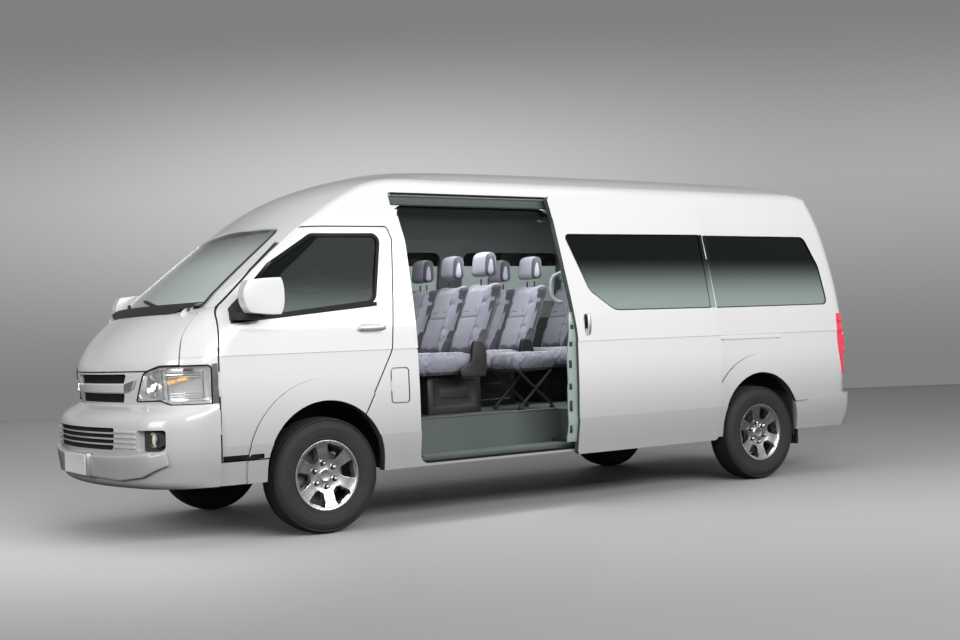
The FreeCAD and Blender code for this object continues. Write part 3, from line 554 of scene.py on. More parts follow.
tyre_rubber = grain(new_finish("tyre_rubber", (0.022, 0.022, 0.023), 0.75), 500, 0.0005)
mottle(tyre_rubber, (0.017, 0.017, 0.018), (0.034, 0.034, 0.035), 9)
cast_alloy = new_finish("cast_alloy", (0.78, 0.79, 0.80), 0.28, metallic=1.0, coat=0.3)
wear(cast_alloy, 18, 0.2, 0.34)
bright_chrome = wear(new_finish("bright_chrome", (0.86, 0.86, 0.87), 0.08, metallic=1.0), 20, 0.05, 0.13)
satin_silver = new_finish("satin_silver", (0.72, 0.73, 0.74), 0.3, metallic=0.85, coat=0.5)
wear(satin_silver, 14, 0.24, 0.36)
dark_steel = wear(new_finish("dark_steel", (0.03, 0.03, 0.03), 0.5, metallic=0.4), 9, 0.4, 0.65)
bare_iron = new_finish("bare_iron", (0.12, 0.11, 0.10), 0.6, metallic=0.7)
mottle(bare_iron, (0.10, 0.10, 0.10), (0.2, 0.19, 0.18), 12)
trim_green = grain(new_finish("trim_green", (0.07, 0.085, 0.083), 0.6), 450, 0.0004)
mottle(trim_green, (0.065, 0.08, 0.078), (0.09, 0.108, 0.105), 2.5)
ceiling_cloth = grain(new_finish("ceiling_cloth", (0.06, 0.07, 0.069), 0.9, sheen=0.2), 700, 0.0006)
mottle(ceiling_cloth, (0.055, 0.066, 0.065), (0.075, 0.088, 0.086), 1.6)
floor_vinyl = grain(new_finish("floor_vinyl", (0.08, 0.10, 0.098), 0.5), 160, 0.0012, "ShaderNodeTexVoronoi")
mottle(floor_vinyl, (0.075, 0.095, 0.092), (0.11, 0.13, 0.127), 3)
grip_plastic = grain(new_finish("grip_plastic", (0.42, 0.42, 0.48), 0.4), 600, 0.0003)
RAIL_PAINT_END = -1.32
rail_paint = new_finish("rail_paint", PEARL, PAINT_ROUGH)
fade_along(rail_paint, RAIL_PAINT_END, RAIL_PAINT_END + 0.02, PEARL, (0.03, 0.035, 0.034), "X")
# Painted light: a glowing pane stands in for the daylight seen through the far side's glass, and its tone
# drifts a little.
DAYLIGHT = (0.30, 0.36, 0.34)
daylight_pane = glow_softly(new_finish("daylight_pane", DAYLIGHT, 0.3), DAYLIGHT, 0.27)
mottle(daylight_pane, (0.27, 0.33, 0.31), (0.33, 0.39, 0.37), 1.2)
print("finishes mixed:", len(bpy.data.materials))

# %% [markdown]
# ## Painting the panels that stay
# The panels, wheels and frame whose shape is right keep their meshes and get their new finishes here.

# %% Dressing the CAD nodes
NODE_FINISHES = {
    side_paint: ["side_panel_left", "side_panel_right", "front_door_left", "front_door_right", "sliding_door",
                 "fuel_flap"],
    gate_paint: ["tailgate"],
    pearl_paint: ["rear_bumper", "roof_panel", "bonnet", "front_posts", "front_bumper", "front_fenders",
                  "front_grille", "grille_bar"],
    privacy_glass: ["side_glass", "sliding_door_glass", "tailgate_glass"],
    cab_glass: ["door_glass_left", "door_glass_right"],
    screen_glass: ["windscreen"],
    ceiling_cloth: ["headliner"],
    floor_vinyl: ["floor_pan"],
    trim_green: ["cab_floor"],
    moulded_black: ["wheelhouses", "dashboard", "steering_wheel", "steering_column", "fog_lamps"],
    rail_paint: ["slide_rails"],
    charcoal_cover: ["seat_bases"],
    dark_steel: ["chassis_frame", "front_suspension", "rear_axle", "knuckle_left", "knuckle_right",
                 "fuel_tank"],
    bare_iron: ["engine_block"],
    cast_alloy: ["rim_front_left", "rim_front_right", "rim_rear_left", "rim_rear_right"],
    tyre_rubber: ["tyre_front_left", "tyre_front_right", "tyre_rear_left", "tyre_rear_right"],
}
for finish, names in NODE_FINISHES.items():
    for name in names:
        nodes[name].data.materials.clear()
        nodes[name].data.materials.append(finish)
print("dressed", sum(len(names) for names in NODE_FINISHES.values()), "nodes")

# %% [markdown]
# ## Tyres
# A van tyre is a moulded ring: a rounded sidewall with shallow rings, and a tread of ribs and blocks.
# Its section could be a curve with a bevel, but the tread needs faces to work on.
# So the section is drawn point by point, spun round the axle, and the tread blocks are raised from the faces.

# %% Drawing and turning a section
def drawn_line(name, points):
    """A chain of edges, clicked out point by point."""
    deselect_all()
    bpy.ops.mesh.primitive_plane_add(size=0.01, location=points[0])
    piece = name_new(name)
    edit(piece, "VERT")
    bpy.ops.mesh.select_all(action="SELECT")
    bpy.ops.mesh.merge(type="CENTER")
    for before, after in zip(points, points[1:]):
        bpy.ops.mesh.extrude_region_move(TRANSFORM_OT_translate={"value": Vector(after) - Vector(before)})
    done()
    return piece


def turned(name, points, centre, steps, axis=(0, 1, 0)):
    """A drawn section spun all the way round an axle."""
    piece = drawn_line(name, points)
    edit(piece, "VERT")
    bpy.ops.mesh.select_all(action="SELECT")
    bpy.ops.mesh.spin(steps=steps, angle=2 * math.pi, center=centre, axis=axis)
    bpy.ops.mesh.select_all(action="SELECT")
    bpy.ops.mesh.remove_doubles(threshold=0.00005)
    bpy.ops.mesh.normals_make_consistent(inside=False)
    done()
    return piece


print("section tools ready")

# %% Making the tyre
WHEEL_X = 1.72
WHEELBASE = 3.51
WHEEL_Z = 0.337
TYRE_FACE = 0.926
TYRE_WIDTH = 0.205
TREAD_DEPTH = 0.008
TREAD_STEPS = 240
BLOCK_STEPS = 5
TREAD_BASE = WHEEL_Z - TREAD_DEPTH
CROWN_DROP = 0.0055
CROWN_REACH = 0.0765
# Half of the tyre's section as (radius, depth in from its outer face), from the bead to the tread.
TYRE_WALL = [
    (0.198, 0.030), (0.200, 0.022), (0.207, 0.013), (0.214, 0.010), (0.217, 0.0075), (0.221, 0.0085),
    (0.228, 0.006), (0.240, 0.003), (0.256, 0.0012), (0.270, 0.001), (0.273, 0.0002), (0.277, 0.0002),
    (0.280, 0.001), (0.290, 0.0025), (0.300, 0.006), (0.309, 0.011), (0.315, 0.016), (0.3195, 0.020),
]
# Edges of the ribs and grooves across the tread, as depths in from the tyre's face.
TREAD_EDGES = [0.026, 0.038, 0.050, 0.055, 0.060, 0.072, 0.078, 0.084, 0.094]

crown = [(TREAD_BASE - CROWN_DROP * ((TYRE_WIDTH / 2 - y) / CROWN_REACH) ** 2, y) for y in TREAD_EDGES]
one_side = TYRE_WALL + crown
other_side = [(r, TYRE_WIDTH - y) for r, y in reversed(one_side)]
axle = (WHEEL_X, TYRE_FACE, WHEEL_Z)
section = [(WHEEL_X, TYRE_FACE - y, WHEEL_Z + r) for r, y in one_side + other_side]
tyre = turned("tyre_front_left_skin", section + section[:1], axle, TREAD_STEPS)


def tread_place(face):
    """A face's radius, its depth in from the tyre's outer face and its step round the axle."""
    middle = face.calc_center_median()
    across, up = middle.x - WHEEL_X, middle.z - WHEEL_Z
    turn = (math.atan2(across, up) / (2 * math.pi)) % 1
    return math.hypot(across, up), TYRE_FACE - middle.y, int(turn * TREAD_STEPS)


GROOVES = [(0.050, 0.060), (0.078, 0.084), (0.121, 0.127), (0.145, 0.155)]
BLOCK_RADIUS = 0.312
SHOULDER = 0.016
OUTER_RIB = 0.050


def is_block(face):
    """True for the tread's raised faces: all but the grooves, and the gaps between the outer ribs' blocks."""
    radius, depth, step = tread_place(face)
    if radius < BLOCK_RADIUS or not SHOULDER < depth < TYRE_WIDTH - SHOULDER:
        return False
    if any(low < depth < high for low, high in GROOVES):
        return False
    outer_rib = depth < OUTER_RIB or depth > TYRE_WIDTH - OUTER_RIB
    shift = 0 if depth < 0.1 else 2
    return not (outer_rib and (step + shift) % BLOCK_STEPS == 0)


edit(tyre)
count = pick_faces(tyre, is_block)
bpy.ops.mesh.extrude_region_shrink_fatten(TRANSFORM_OT_shrink_fatten={"value": TREAD_DEPTH * 0.93})
done()
print("tyre has", len(tyre.data.polygons), "faces, with", count, "raised into tread")

# %% [markdown]
# ## Alloy wheels
# The real wheel is one aluminium casting with six spokes, six nuts and a flat cap.
# Its face is a turned dish. The six windows are cut by a cutter that is narrower at its back, so each spoke
# keeps sloping flanks that catch the light, as the casting's do.

# %% Turning the rim and cutting its windows
RIM_STEPS = 96
SPOKE_COUNT = 6
SPOKE_TURN = math.radians(8)
WINDOW_FOOT = 0.094
WINDOW_TOP = 0.1815
FOOT_HALF = 0.026
TOP_HALF = 0.066
BACK_SHARE = 0.72
face_section = [
    (0.000, 0.0385), (0.040, 0.0385), (0.044, 0.043), (0.086, 0.043), (0.100, 0.036), (0.150, 0.0245),
    (0.182, 0.021), (0.188, 0.017), (0.191, 0.013), (0.197, 0.0105), (0.2035, 0.0105), (0.2035, 0.020),
    (0.1975, 0.024), (0.196, 0.190), (0.190, 0.192), (0.184, 0.188), (0.184, 0.075), (0.176, 0.064),
    (0.120, 0.072), (0.060, 0.085), (0.060, 0.100), (0.000, 0.100),
]


def on_wheel(section_points):
    """A wheel's section, drawn above its axle."""
    return [(WHEEL_X, TYRE_FACE - y, WHEEL_Z + r) for r, y in section_points]


rim = turned("alloy_front_left", on_wheel(face_section), axle, RIM_STEPS)


def window_cutter(index):
    """A wedge with rounded corners, wider at the wheel's face than behind it."""
    cutter = block("cutter", (WHEEL_X - 0.034, TYRE_FACE - 0.11, WHEEL_Z + WINDOW_FOOT),
                   (WHEEL_X + 0.034, TYRE_FACE + 0.02, WHEEL_Z + WINDOW_TOP))
    for vertex in cutter.data.vertices:
        high = vertex.co.z > WHEEL_Z + 0.13
        front = vertex.co.y > TYRE_FACE - 0.05
        spread = (TOP_HALF if high else FOOT_HALF) * (1 if front else BACK_SHARE)
        vertex.co.x = WHEEL_X + math.copysign(spread, vertex.co.x - WHEEL_X)
        if not front:
            vertex.co.z += -0.006 if high else 0.006
    edit(cutter, "EDGE")
    pick_edges(cutter, lambda e: abs(e.verts[0].co.y - e.verts[1].co.y) > 0.05)
    bpy.ops.mesh.bevel(offset=0.017, segments=5, affect="EDGES")
    done()
    angle = math.radians((index + 0.5) * 360 / SPOKE_COUNT) + SPOKE_TURN
    centre = Matrix.Translation(Vector((WHEEL_X, 0, WHEEL_Z)))
    cutter.data.transform(centre @ Matrix.Rotation(angle, 4, "Y") @ centre.inverted())
    return cutter


cutter = join("cutters", [window_cutter(i) for i in range(SPOKE_COUNT)])
modify(rim, "BOOLEAN", operation="DIFFERENCE", object=cutter, solver="EXACT")
bpy.data.objects.remove(cutter)
round_edges(rim, 0.0025, 2, 32)
print("rim has", len(rim.data.polygons), "faces")

# %% Nuts, pockets and cap
NUT_CIRCLE = 0.0685


def at_spoke(index, radius, depth):
    """A place on a spoke's middle, by its distance from the axle and its depth in from the tyre's face."""
    angle = math.radians(index * 360 / SPOKE_COUNT) + SPOKE_TURN
    return (WHEEL_X + radius * math.sin(angle), TYRE_FACE - depth, WHEEL_Z + radius * math.cos(angle))


def wheel_nut(index):
    """A hexagon nut with a domed end."""
    nut = drum("nut", at_spoke(index, NUT_CIRCLE, 0.034), 0.0105, 0.022, "Y", 6)
    edit(nut)
    pick_faces(nut, lambda f: f.normal.y > 0.9)
    bpy.ops.mesh.inset(thickness=0.0025)
    bpy.ops.transform.translate(value=(0, 0.003, 0))
    done()
    return round_edges(nut, 0.0012, 2)


def nut_pocket(index):
    """The dark ring of the hole that a nut sits in."""
    pocket = drum("pocket", at_spoke(index, NUT_CIRCLE, 0.0425), 0.0155, 0.003, "Y", 28)
    edit(pocket)
    pick_faces(pocket, lambda f: f.normal.y > 0.9)
    bpy.ops.mesh.inset(thickness=0.002)
    bpy.ops.mesh.extrude_region_move(TRANSFORM_OT_translate={"value": (0, -0.002, 0)})
    done()
    return pocket


nuts = join("nuts_front_left", [wheel_nut(i) for i in range(SPOKE_COUNT)])
pockets = join("pockets_front_left", [nut_pocket(i) for i in range(SPOKE_COUNT)])
cap = drum("cap_front_left", (WHEEL_X, TYRE_FACE - 0.0365, WHEEL_Z), 0.036, 0.008, "Y", 48)
edit(cap)
pick_faces(cap, lambda f: f.normal.y > 0.9)
bpy.ops.mesh.inset(thickness=0.006)
bpy.ops.mesh.extrude_region_move(TRANSFORM_OT_translate={"value": (0, -0.0015, 0)})
done()
round_edges(cap, 0.0015, 2)
print("nuts, pockets and cap made")

# %% [markdown]
# ## Brakes behind the wheels
# Through the windows of a real wheel you see a cast disc and its calliper, and a drum at the rear.
# One disc is turned for all four wheels, and a calliper sits on each front knuckle, all in dark iron.

# %% Turning the brakes
disc_section = [(0.050, 0.128), (0.050, 0.100), (0.085, 0.100), (0.088, 0.116), (0.150, 0.116),
                (0.150, 0.138), (0.088, 0.138), (0.050, 0.138)]
brake = turned("brake_front_left", on_wheel(disc_section + disc_section[:1]), axle, 64)
calliper = block("calliper_left", (WHEEL_X + 0.095, TYRE_FACE - 0.150, WHEEL_Z - 0.055),
                 (WHEEL_X + 0.165, TYRE_FACE - 0.098, WHEEL_Z + 0.075))
edit(calliper)
pick_faces(calliper, lambda f: f.normal.x > 0.9)
bpy.ops.mesh.inset(thickness=0.012)
bpy.ops.mesh.extrude_region_move(TRANSFORM_OT_translate={"value": (0.008, 0, 0)})
done()
round_edges(calliper, 0.008, 3)
print("brake disc and calliper made")

# %% Setting the wheels in place
REAR_MOVE = (-WHEELBASE, 0, 0)
wheel_parts = [("tyre", tyre, "tyre_rubber", tyre_rubber), ("alloy", rim, "alloy", cast_alloy),
               ("nuts", nuts, "silver_trim", bright_chrome),
               ("pockets", pockets, "dark_plastic", moulded_black),
               ("cap", cap, "alloy", cast_alloy), ("brake", brake, "frame_steel", bare_iron)]
for kind, model, slot_name, finish in wheel_parts:
    for end, move in (("front", (0, 0, 0)), ("rear", REAR_MOVE)):
        for side, mirror in (("left", False), ("right", True)):
            piece = copy_of(model, f"{kind}_of_{end}_{side}", move, mirror)
            fit(piece, f"wheel_{end}_{side}", slot_name, finish, 30)
            if kind == "tyre":
                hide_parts(f"tyre_{end}_{side}")
            if kind == "alloy":
                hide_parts(f"rim_{end}_{side}")
    bpy.data.objects.remove(model)
for side, mirror in (("left", False), ("right", True)):
    piece = copy_of(calliper, f"brake_calliper_{side}", mirror_y=mirror)
    fit(piece, f"knuckle_{side}", "frame_steel", bare_iron)
bpy.data.objects.remove(calliper)
print("four wheels in place")

# %% [markdown]
# ## Seat cloth
# The seats wear a lilac-grey woven cloth. Their bolsters are a shade darker, and the sides and backs are
# charcoal. Seams lie where the panels meet. Each pad carries its own measures of how far a point lies from
# its seams, so the colour changes along a clean line and stays with the pad.

# %% Weaving the seat cloth
LILAC = (0.345, 0.35, 0.42)
LILAC_DEEP = (0.295, 0.30, 0.365)
BOLSTER = (0.255, 0.26, 0.315)
CHARCOAL = (0.06, 0.06, 0.075)
SEAM_DARK = (0.05, 0.05, 0.065)
SEAM_HALF = 0.0022
THREAD_SCALE = 320
seat_cloth = new_finish("seat_cloth", LILAC, 0.85, sheen=0.35)
shader_of(seat_cloth).inputs["Sheen Roughness"].default_value = 0.4


def measure(name):
    """One of the measures that every pad carries."""
    node = node_of(seat_cloth, "ShaderNodeAttribute")
    node.attribute_name = name
    return node.outputs["Fac"]


tree = seat_cloth.node_tree
noise = node_of(seat_cloth, "ShaderNodeTexNoise", Scale=14, Detail=6)
link(seat_cloth, object_place(seat_cloth), noise.inputs["Vector"])
tone = mixed_colour(seat_cloth, noise.outputs["Fac"], LILAC, LILAC_DEEP)
on_bolster = calc(tree, "GREATER_THAN", measure("bolster"), 0)
tone = mixed_colour(seat_cloth, on_bolster, tone, BOLSTER)
on_seam = calc(tree, "LESS_THAN", calc(tree, "ABSOLUTE", measure("seam"), 0), SEAM_HALF)
tone = mixed_colour(seat_cloth, on_seam, tone, SEAM_DARK)
# The backing measure also holds a dark stripe at each back wing's edge, partly a charcoal strip and partly
# painted shade in the crease.
on_backing = calc(tree, "GREATER_THAN", measure("backing"), 0)
tone = mixed_colour(seat_cloth, on_backing, tone, CHARCOAL)
link(seat_cloth, tone, shader_of(seat_cloth).inputs["Base Color"])
threads = []
for direction in ("X", "Z"):
    wave = node_of(seat_cloth, "ShaderNodeTexWave", Scale=THREAD_SCALE, Distortion=0.6)
    wave.bands_direction = direction
    link(seat_cloth, object_place(seat_cloth), wave.inputs["Vector"])
    threads.append(wave.outputs["Fac"])
bump = node_of(seat_cloth, "ShaderNodeBump", Strength=0.5, Distance=0.0006)
link(seat_cloth, calc(tree, "ADD", threads[0], threads[1]), bump.inputs["Height"])
link(seat_cloth, bump.outputs["Normal"], shader_of(seat_cloth).inputs["Normal"])
print("cloth woven")

# %% [markdown]
# ## One seat
# A real seat is foam under a sewn cover, so it swells between its seams. A pad starts as a slightly small
# block with rounded edges, and is then blown up as cloth with air inside, which pulls its sides in between
# its corners. After that the seams are pressed in. One cushion, one back and one headrest are made, and
# copied to each place.

# %% Blowing up a pad
VOXEL = 0.007
AIR_PRESSURE = 4
PUFF_FRAMES = 20
PUFF_CAP = 0.024


def swell(pad):
    """Blows the pad up as closed cloth, and keeps each point within a cap of where it began."""
    modify(pad, "REMESH", mode="VOXEL", voxel_size=VOXEL)
    start = [v.co.copy() for v in pad.data.vertices]
    cloth = pad.modifiers.new("cloth", "CLOTH")
    cloth.settings.use_pressure = True
    cloth.settings.uniform_pressure_force = AIR_PRESSURE
    cloth.settings.effector_weights.gravity = 0
    cloth.point_cache.frame_start = 1
    cloth.point_cache.frame_end = PUFF_FRAMES
    for frame_number in range(1, PUFF_FRAMES + 1):
        bpy.context.scene.frame_set(frame_number)
    deselect_all()
    bpy.context.view_layer.objects.active = pad
    pad.select_set(True)
    bpy.ops.object.modifier_apply(modifier="cloth")
    bpy.context.scene.frame_set(1)
    for vertex, home in zip(pad.data.vertices, start):
        step = vertex.co - home
        if step.length > PUFF_CAP:
            vertex.co = home + step * (PUFF_CAP / step.length)
    modify(pad, "SMOOTH", factor=0.5, iterations=4)
    return pad


def shaped_pad(name, low, high, rounding, cuts, shape):
    """A rounded block whose points are then pushed by a shape rule, as hands press foam."""
    pad = block(name, low, high)
    round_edges(pad, rounding, 4)
    edit(pad)
    bpy.ops.mesh.select_all(action="SELECT")
    bpy.ops.mesh.subdivide(number_cuts=cuts)
    done()
    for vertex in pad.data.vertices:
        vertex.co = shape(vertex.co)
    return pad


def press_seams(pad, seam_distance, depth, width):
    """Presses a sewn channel into the pad along the line where the distance is zero."""
    pad.data.update()
    normals = [v.normal.copy() for v in pad.data.vertices]
    for vertex, normal in zip(pad.data.vertices, normals):
        closeness = math.exp(-((seam_distance(vertex.co) / width) ** 2))
        vertex.co -= normal * depth * closeness
    return pad


def write_measures(pad, **rules):
    """Stores how far each point lies from the seams and colour borders."""
    for name, rule in rules.items():
        store = pad.data.attributes.new(name, "FLOAT", "POINT")
        for vertex in pad.data.vertices:
            store.data[vertex.index].value = rule(vertex.co)
    return pad


print("pad tools ready")

# %% Making the cushion
CUSHION_REAR = 0.20
CUSHION_FRONT = 0.68
PAD_HALF = 0.178
PANEL_HALF = 0.112
CUSHION_MID_Z = 0.06
SEAM_NONE = 1.0


def cushion_shape(p):
    """The top swells toward its sides and its front end falls away."""
    side = min(1, abs(p.y) / PAD_HALF)
    lift = 0.010 * math.sin(side * math.pi / 2) ** 4 if p.z > CUSHION_MID_Z else 0
    front = max(0, (p.x - CUSHION_FRONT + 0.12) / 0.12)
    return Vector((p.x, p.y * (1 - 0.02 * front), p.z + lift - 0.018 * front ** 2 * (p.z > CUSHION_MID_Z)))


def cushion_seam(p):
    """How far a point lies from the nearest seam: one at each side of the middle panel and one across it."""
    if p.z < 0.035:
        return SEAM_NONE
    beside = abs(p.y) - PANEL_HALF
    across = p.x - CUSHION_FRONT + 0.085
    return beside if abs(beside) < abs(across) or abs(p.y) > PANEL_HALF else across


cushion = shaped_pad("cushion_model", (CUSHION_REAR, -PAD_HALF + 0.014, 0.014),
                     (CUSHION_FRONT - 0.014, PAD_HALF - 0.014, 0.112), 0.03, 3, cushion_shape)
swell(cushion)
press_seams(cushion, cushion_seam, 0.005, 0.007)
modify(cushion, "DECIMATE", ratio=0.45)
write_measures(cushion, bolster=lambda p: abs(p.y) - PANEL_HALF, seam=cushion_seam,
               backing=lambda p: 0.012 - p.z)
print("cushion has", len(cushion.data.polygons), "faces")

# %% Making the back
BACK_LOW = 0.095
BACK_HIGH = 0.625
BACK_LEAN = 0.396
BACK_FOOT = 0.125
BACK_SEAM = 0.37
# A dark stripe along each wing's edge is partly a charcoal strip and partly painted shade in the crease.
STRIPE_Y = 0.148
STRIPE_HALF = 0.010
BACK_PANEL_HALF = 0.100


def back_shape(p):
    """Wings stand forward of the middle, the shoulders round off and the waist is drawn in."""
    side = min(1, abs(p.y) / PAD_HALF)
    high = (p.z - BACK_LOW) / (BACK_HIGH - BACK_LOW)
    wing = 0.016 * side ** 4 if p.x > 0.04 else 0
    narrow = 1 - 0.10 * max(0, (high - 0.72) / 0.28) ** 2 - 0.03 * (1 - high)
    lumbar = 0.012 * math.exp(-((high - 0.3) / 0.2) ** 2) if p.x > 0.04 else 0
    return Vector((p.x + wing + lumbar, p.y * narrow, p.z))


def back_seam(p):
    """How far a point of the back lies from the nearest of its seams."""
    if p.x < 0.045:
        return SEAM_NONE
    beside = abs(p.y) - BACK_PANEL_HALF
    across = p.z - BACK_SEAM
    return beside if abs(beside) < abs(across) or abs(p.y) > BACK_PANEL_HALF else across


def lean_back(pad):
    """Leans the upright pad rearward from its foot."""
    for vertex in pad.data.vertices:
        vertex.co.x += BACK_FOOT - BACK_LEAN * (vertex.co.z - BACK_LOW)
    return pad


back = shaped_pad("back_model", (0.008, -PAD_HALF + 0.014, BACK_LOW + 0.01),
                  (0.092, PAD_HALF - 0.014, BACK_HIGH - 0.014), 0.032, 3, back_shape)
swell(back)
press_seams(back, back_seam, 0.005, 0.007)
modify(back, "DECIMATE", ratio=0.45)
write_measures(back, bolster=lambda p: abs(p.y) - BACK_PANEL_HALF, seam=back_seam,
               backing=lambda p: max(0.040 - p.x, STRIPE_HALF - abs(abs(p.y) - STRIPE_Y)))
lean_back(back)
print("back has", len(back.data.polygons), "faces")

# %% Making the headrest
HEAD_LOW = 0.632
HEAD_HIGH = 0.822
HEAD_HALF = 0.134
HEAD_SEAM = -0.008
HEAD_STRIPE = 0.088


def head_shape(p):
    """The headrest narrows toward its top, bows forward in its middle and leans back."""
    high = (p.z - HEAD_LOW) / (HEAD_HIGH - HEAD_LOW)
    narrow = 1 - 0.34 * max(0, high) ** 2 - 0.05 * (1 - high) ** 2
    forward = 0.014 * math.cos(p.y / HEAD_HALF * math.pi / 2) if p.x > 0 else 0
    return Vector((p.x + forward - 0.014 * high, p.y * narrow, p.z))


def head_seam(p):
    """How far a point lies ahead of the seam round the headrest."""
    return p.x - HEAD_SEAM


headrest = shaped_pad("headrest_model", (-0.045, -HEAD_HALF + 0.012, HEAD_LOW + 0.012),
                      (0.036, HEAD_HALF - 0.012, HEAD_HIGH - 0.014), 0.036, 3, head_shape)
swell(headrest)
press_seams(headrest, head_seam, 0.004, 0.006)
modify(headrest, "DECIMATE", ratio=0.5)
write_measures(headrest, bolster=lambda p: -SEAM_NONE, seam=head_seam,
               backing=lambda p: max(-0.009 - p.x, 0.012 - abs(abs(p.y) - HEAD_STRIPE)))
stalks = []
for side in (-1, 1):
    stalk = drum("stalk", (-0.008, side * 0.045, 0.592), 0.006, 0.07, "Z", 16)
    edit(stalk)
    pick_faces(stalk, lambda f: f.normal.z < -0.9)
    bpy.ops.mesh.extrude_region_move(TRANSFORM_OT_translate={"value": (0, 0, -0.012)})
    bpy.ops.transform.resize(value=(1.5, 1.5, 1))
    done()
    stalks.append(stalk)
stalk_pair = join("stalk_model", stalks)
print("headrest has", len(headrest.data.polygons), "faces")

# %% [markdown]
# ## Setting out the seats
# Three seats stand in the first row, two beside the aisle in each of the next, and four across the rear.
# The driver and the two passengers in front of the first row sit higher, on the engine box.

# %% Placing every seat
FLOOR_TOP = 0.60
SEAT_FOOT = 0.87
FRONT_FOOT = 0.93
FRONT_PLACE = 1.205
ROW_START = 0.16
ROW_PITCH = 0.68
FRONT_WIDTHS = ((0.50, 1.3), (0.06, 1.02), (-0.46, 1.36))
FRONT_DROP = Vector((0, 0, -0.03))
rows = {
    "seat_row_1": [(ROW_START, y, SEAT_FOOT, 1) for y in (0.30, -0.10, -0.50)],
    "seat_row_2": [(ROW_START - ROW_PITCH, y, SEAT_FOOT, 1) for y in (-0.10, -0.50)],
    "seat_row_3": [(ROW_START - 2 * ROW_PITCH, y, SEAT_FOOT, 1) for y in (-0.10, -0.50)],
    "seat_row_4": [(ROW_START - 3 * ROW_PITCH, y, SEAT_FOOT, 1) for y in (0.555, 0.185, -0.185, -0.555)],
    "front_seats": [(FRONT_PLACE, y, FRONT_FOOT, wide) for y, wide in FRONT_WIDTHS],
}
for node_name, places in rows.items():
    lower = FRONT_DROP if node_name == "front_seats" else Vector((0, 0, 0))
    for number, (x, y, z, widen) in enumerate(places, 1):
        seat_spot = Vector((x, y, z))
        for kind, model in (("cushion", cushion), ("back", back), ("headrest", headrest)):
            grow = Matrix.Diagonal((1, widen if kind != "headrest" else 1 + (widen - 1) * 0.4, 1, 1))
            pad_spot = seat_spot if kind == "cushion" else seat_spot + lower
            piece = copy_of(model, f"{kind}_{node_name}_{number}", pad_spot, turn=grow)
            fit(piece, "body", "seat_fabric", seat_cloth, 60)
            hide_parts(node_name)
        stalk_twin = copy_of(stalk_pair, f"stalks_{node_name}_{number}", seat_spot + lower)
        fit(stalk_twin, "body", "dark_plastic", moulded_black)

shrink = Matrix.Diagonal((0.79, 0.96, 0.86, 1))
for number in (1, 2):
    fold_x = ROW_START - ROW_PITCH * number
    piece = copy_of(cushion, f"cushion_jump_{number}", (fold_x + 0.062, 0.325, SEAT_FOOT), turn=shrink)
    fit(piece, "body", "seat_fabric", seat_cloth, 60)
    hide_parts("jump_seats")
for model in (cushion, back, headrest, stalk_pair):
    bpy.data.objects.remove(model)
print("seats placed:", sum(len(places) for places in rows.values()))

# %% [markdown]
# ## Lines drawn on the body
# Seals, window surrounds and mouldings follow the body's own curve, as tape does when it is laid on a car.
# Each is drawn as a flat outline with rounded corners, and every point is then cast onto the panel below it.
# A band is a grid pulled between two such lines; a hose is a round bar led along one.

# %% Drawing outlines
OUTLINE_STEP = 0.03
CORNER_STEPS = 6
CAST_FROM = 3.0
GLASS_SET = 0.008


def rounded(points, closed=True):
    """Points along an outline with (u, v, radius) corners, evenly spaced along its straights."""
    count = len(points)
    line = []
    for i, point in enumerate(points):
        here = Vector(point[:2])
        radius = point[2] if len(point) > 2 and (closed or 0 < i < count - 1) else 0
        if not radius:
            line.append(here)
            continue
        back = (Vector(points[i - 1][:2]) - here).normalized()
        onward = (Vector(points[(i + 1) % count][:2]) - here).normalized()
        half = back.angle(onward) / 2
        centre = here + (back + onward).normalized() * radius / math.sin(half)
        start = here + back * radius / math.tan(half) - centre
        end = here + onward * radius / math.tan(half) - centre
        for k in range(CORNER_STEPS + 1):
            line.append(centre + start.lerp(end, k / CORNER_STEPS).normalized() * radius)
    spread = []
    for i in range(count_of_gaps(line, closed)):
        first, second = line[i], line[(i + 1) % len(line)]
        parts = max(1, math.ceil((second - first).length / OUTLINE_STEP))
        spread += [first.lerp(second, k / parts) for k in range(parts)]
    return spread if closed else spread + [line[-1]]


def count_of_gaps(line, closed):
    """A closed line has as many gaps as points, and an open one has one less."""
    return len(line) if closed else len(line) - 1


def widened(line, distance, closed=True):
    """The same outline moved outward by a distance, or inward by a negative one."""
    count = len(line)
    area = sum(line[i - 1].x * line[i].y - line[i].x * line[i - 1].y for i in range(count))
    sign = 1 if area > 0 else -1
    moved = []
    for i, here in enumerate(line):
        before = line[i - 1] if closed or i else here
        after = line[(i + 1) % count] if closed or i + 1 < count else here
        way = (after - before).normalized()
        moved.append(here + Vector((way.y, -way.x)) * distance * sign)
    return moved


def straight(start, end, parts):
    """Points evenly along one straight."""
    return [Vector(start).lerp(Vector(end), k / parts) for k in range(parts + 1)]


def side_place(panels, panes=(), side=1, lift=0.001):
    """Turns a point of the side view into one on the outer face of the panels, or just over their glass."""
    def place(p):
        start = Vector((p.x, CAST_FROM * side, p.y))
        for names, more in ((panels, 0), (panes, GLASS_SET)):
            for name in names:
                found, spot, _, _ = nodes[name].ray_cast(start, Vector((0, -side, 0)))
                if found and spot.y * side > 0.5:
                    return Vector((p.x, spot.y + side * (more + lift), p.y))
        return None
    return place


def front_place(panels, panes=(), way=1, lift=0.001):
    """Turns a point (y, z) seen from ahead, or from behind with way -1, into one on the panels there."""
    def place(p):
        start = Vector((CAST_FROM * 2 * way, p.x, p.y))
        for names, more in ((panels, 0), (panes, GLASS_SET)):
            for name in names:
                found, spot, _, _ = nodes[name].ray_cast(start, Vector((-way, 0, 0)))
                if found and spot.x * way > 1.5:
                    return Vector((spot.x + way * (more + lift), p.x, p.y))
        return None
    return place


print("outline tools ready")

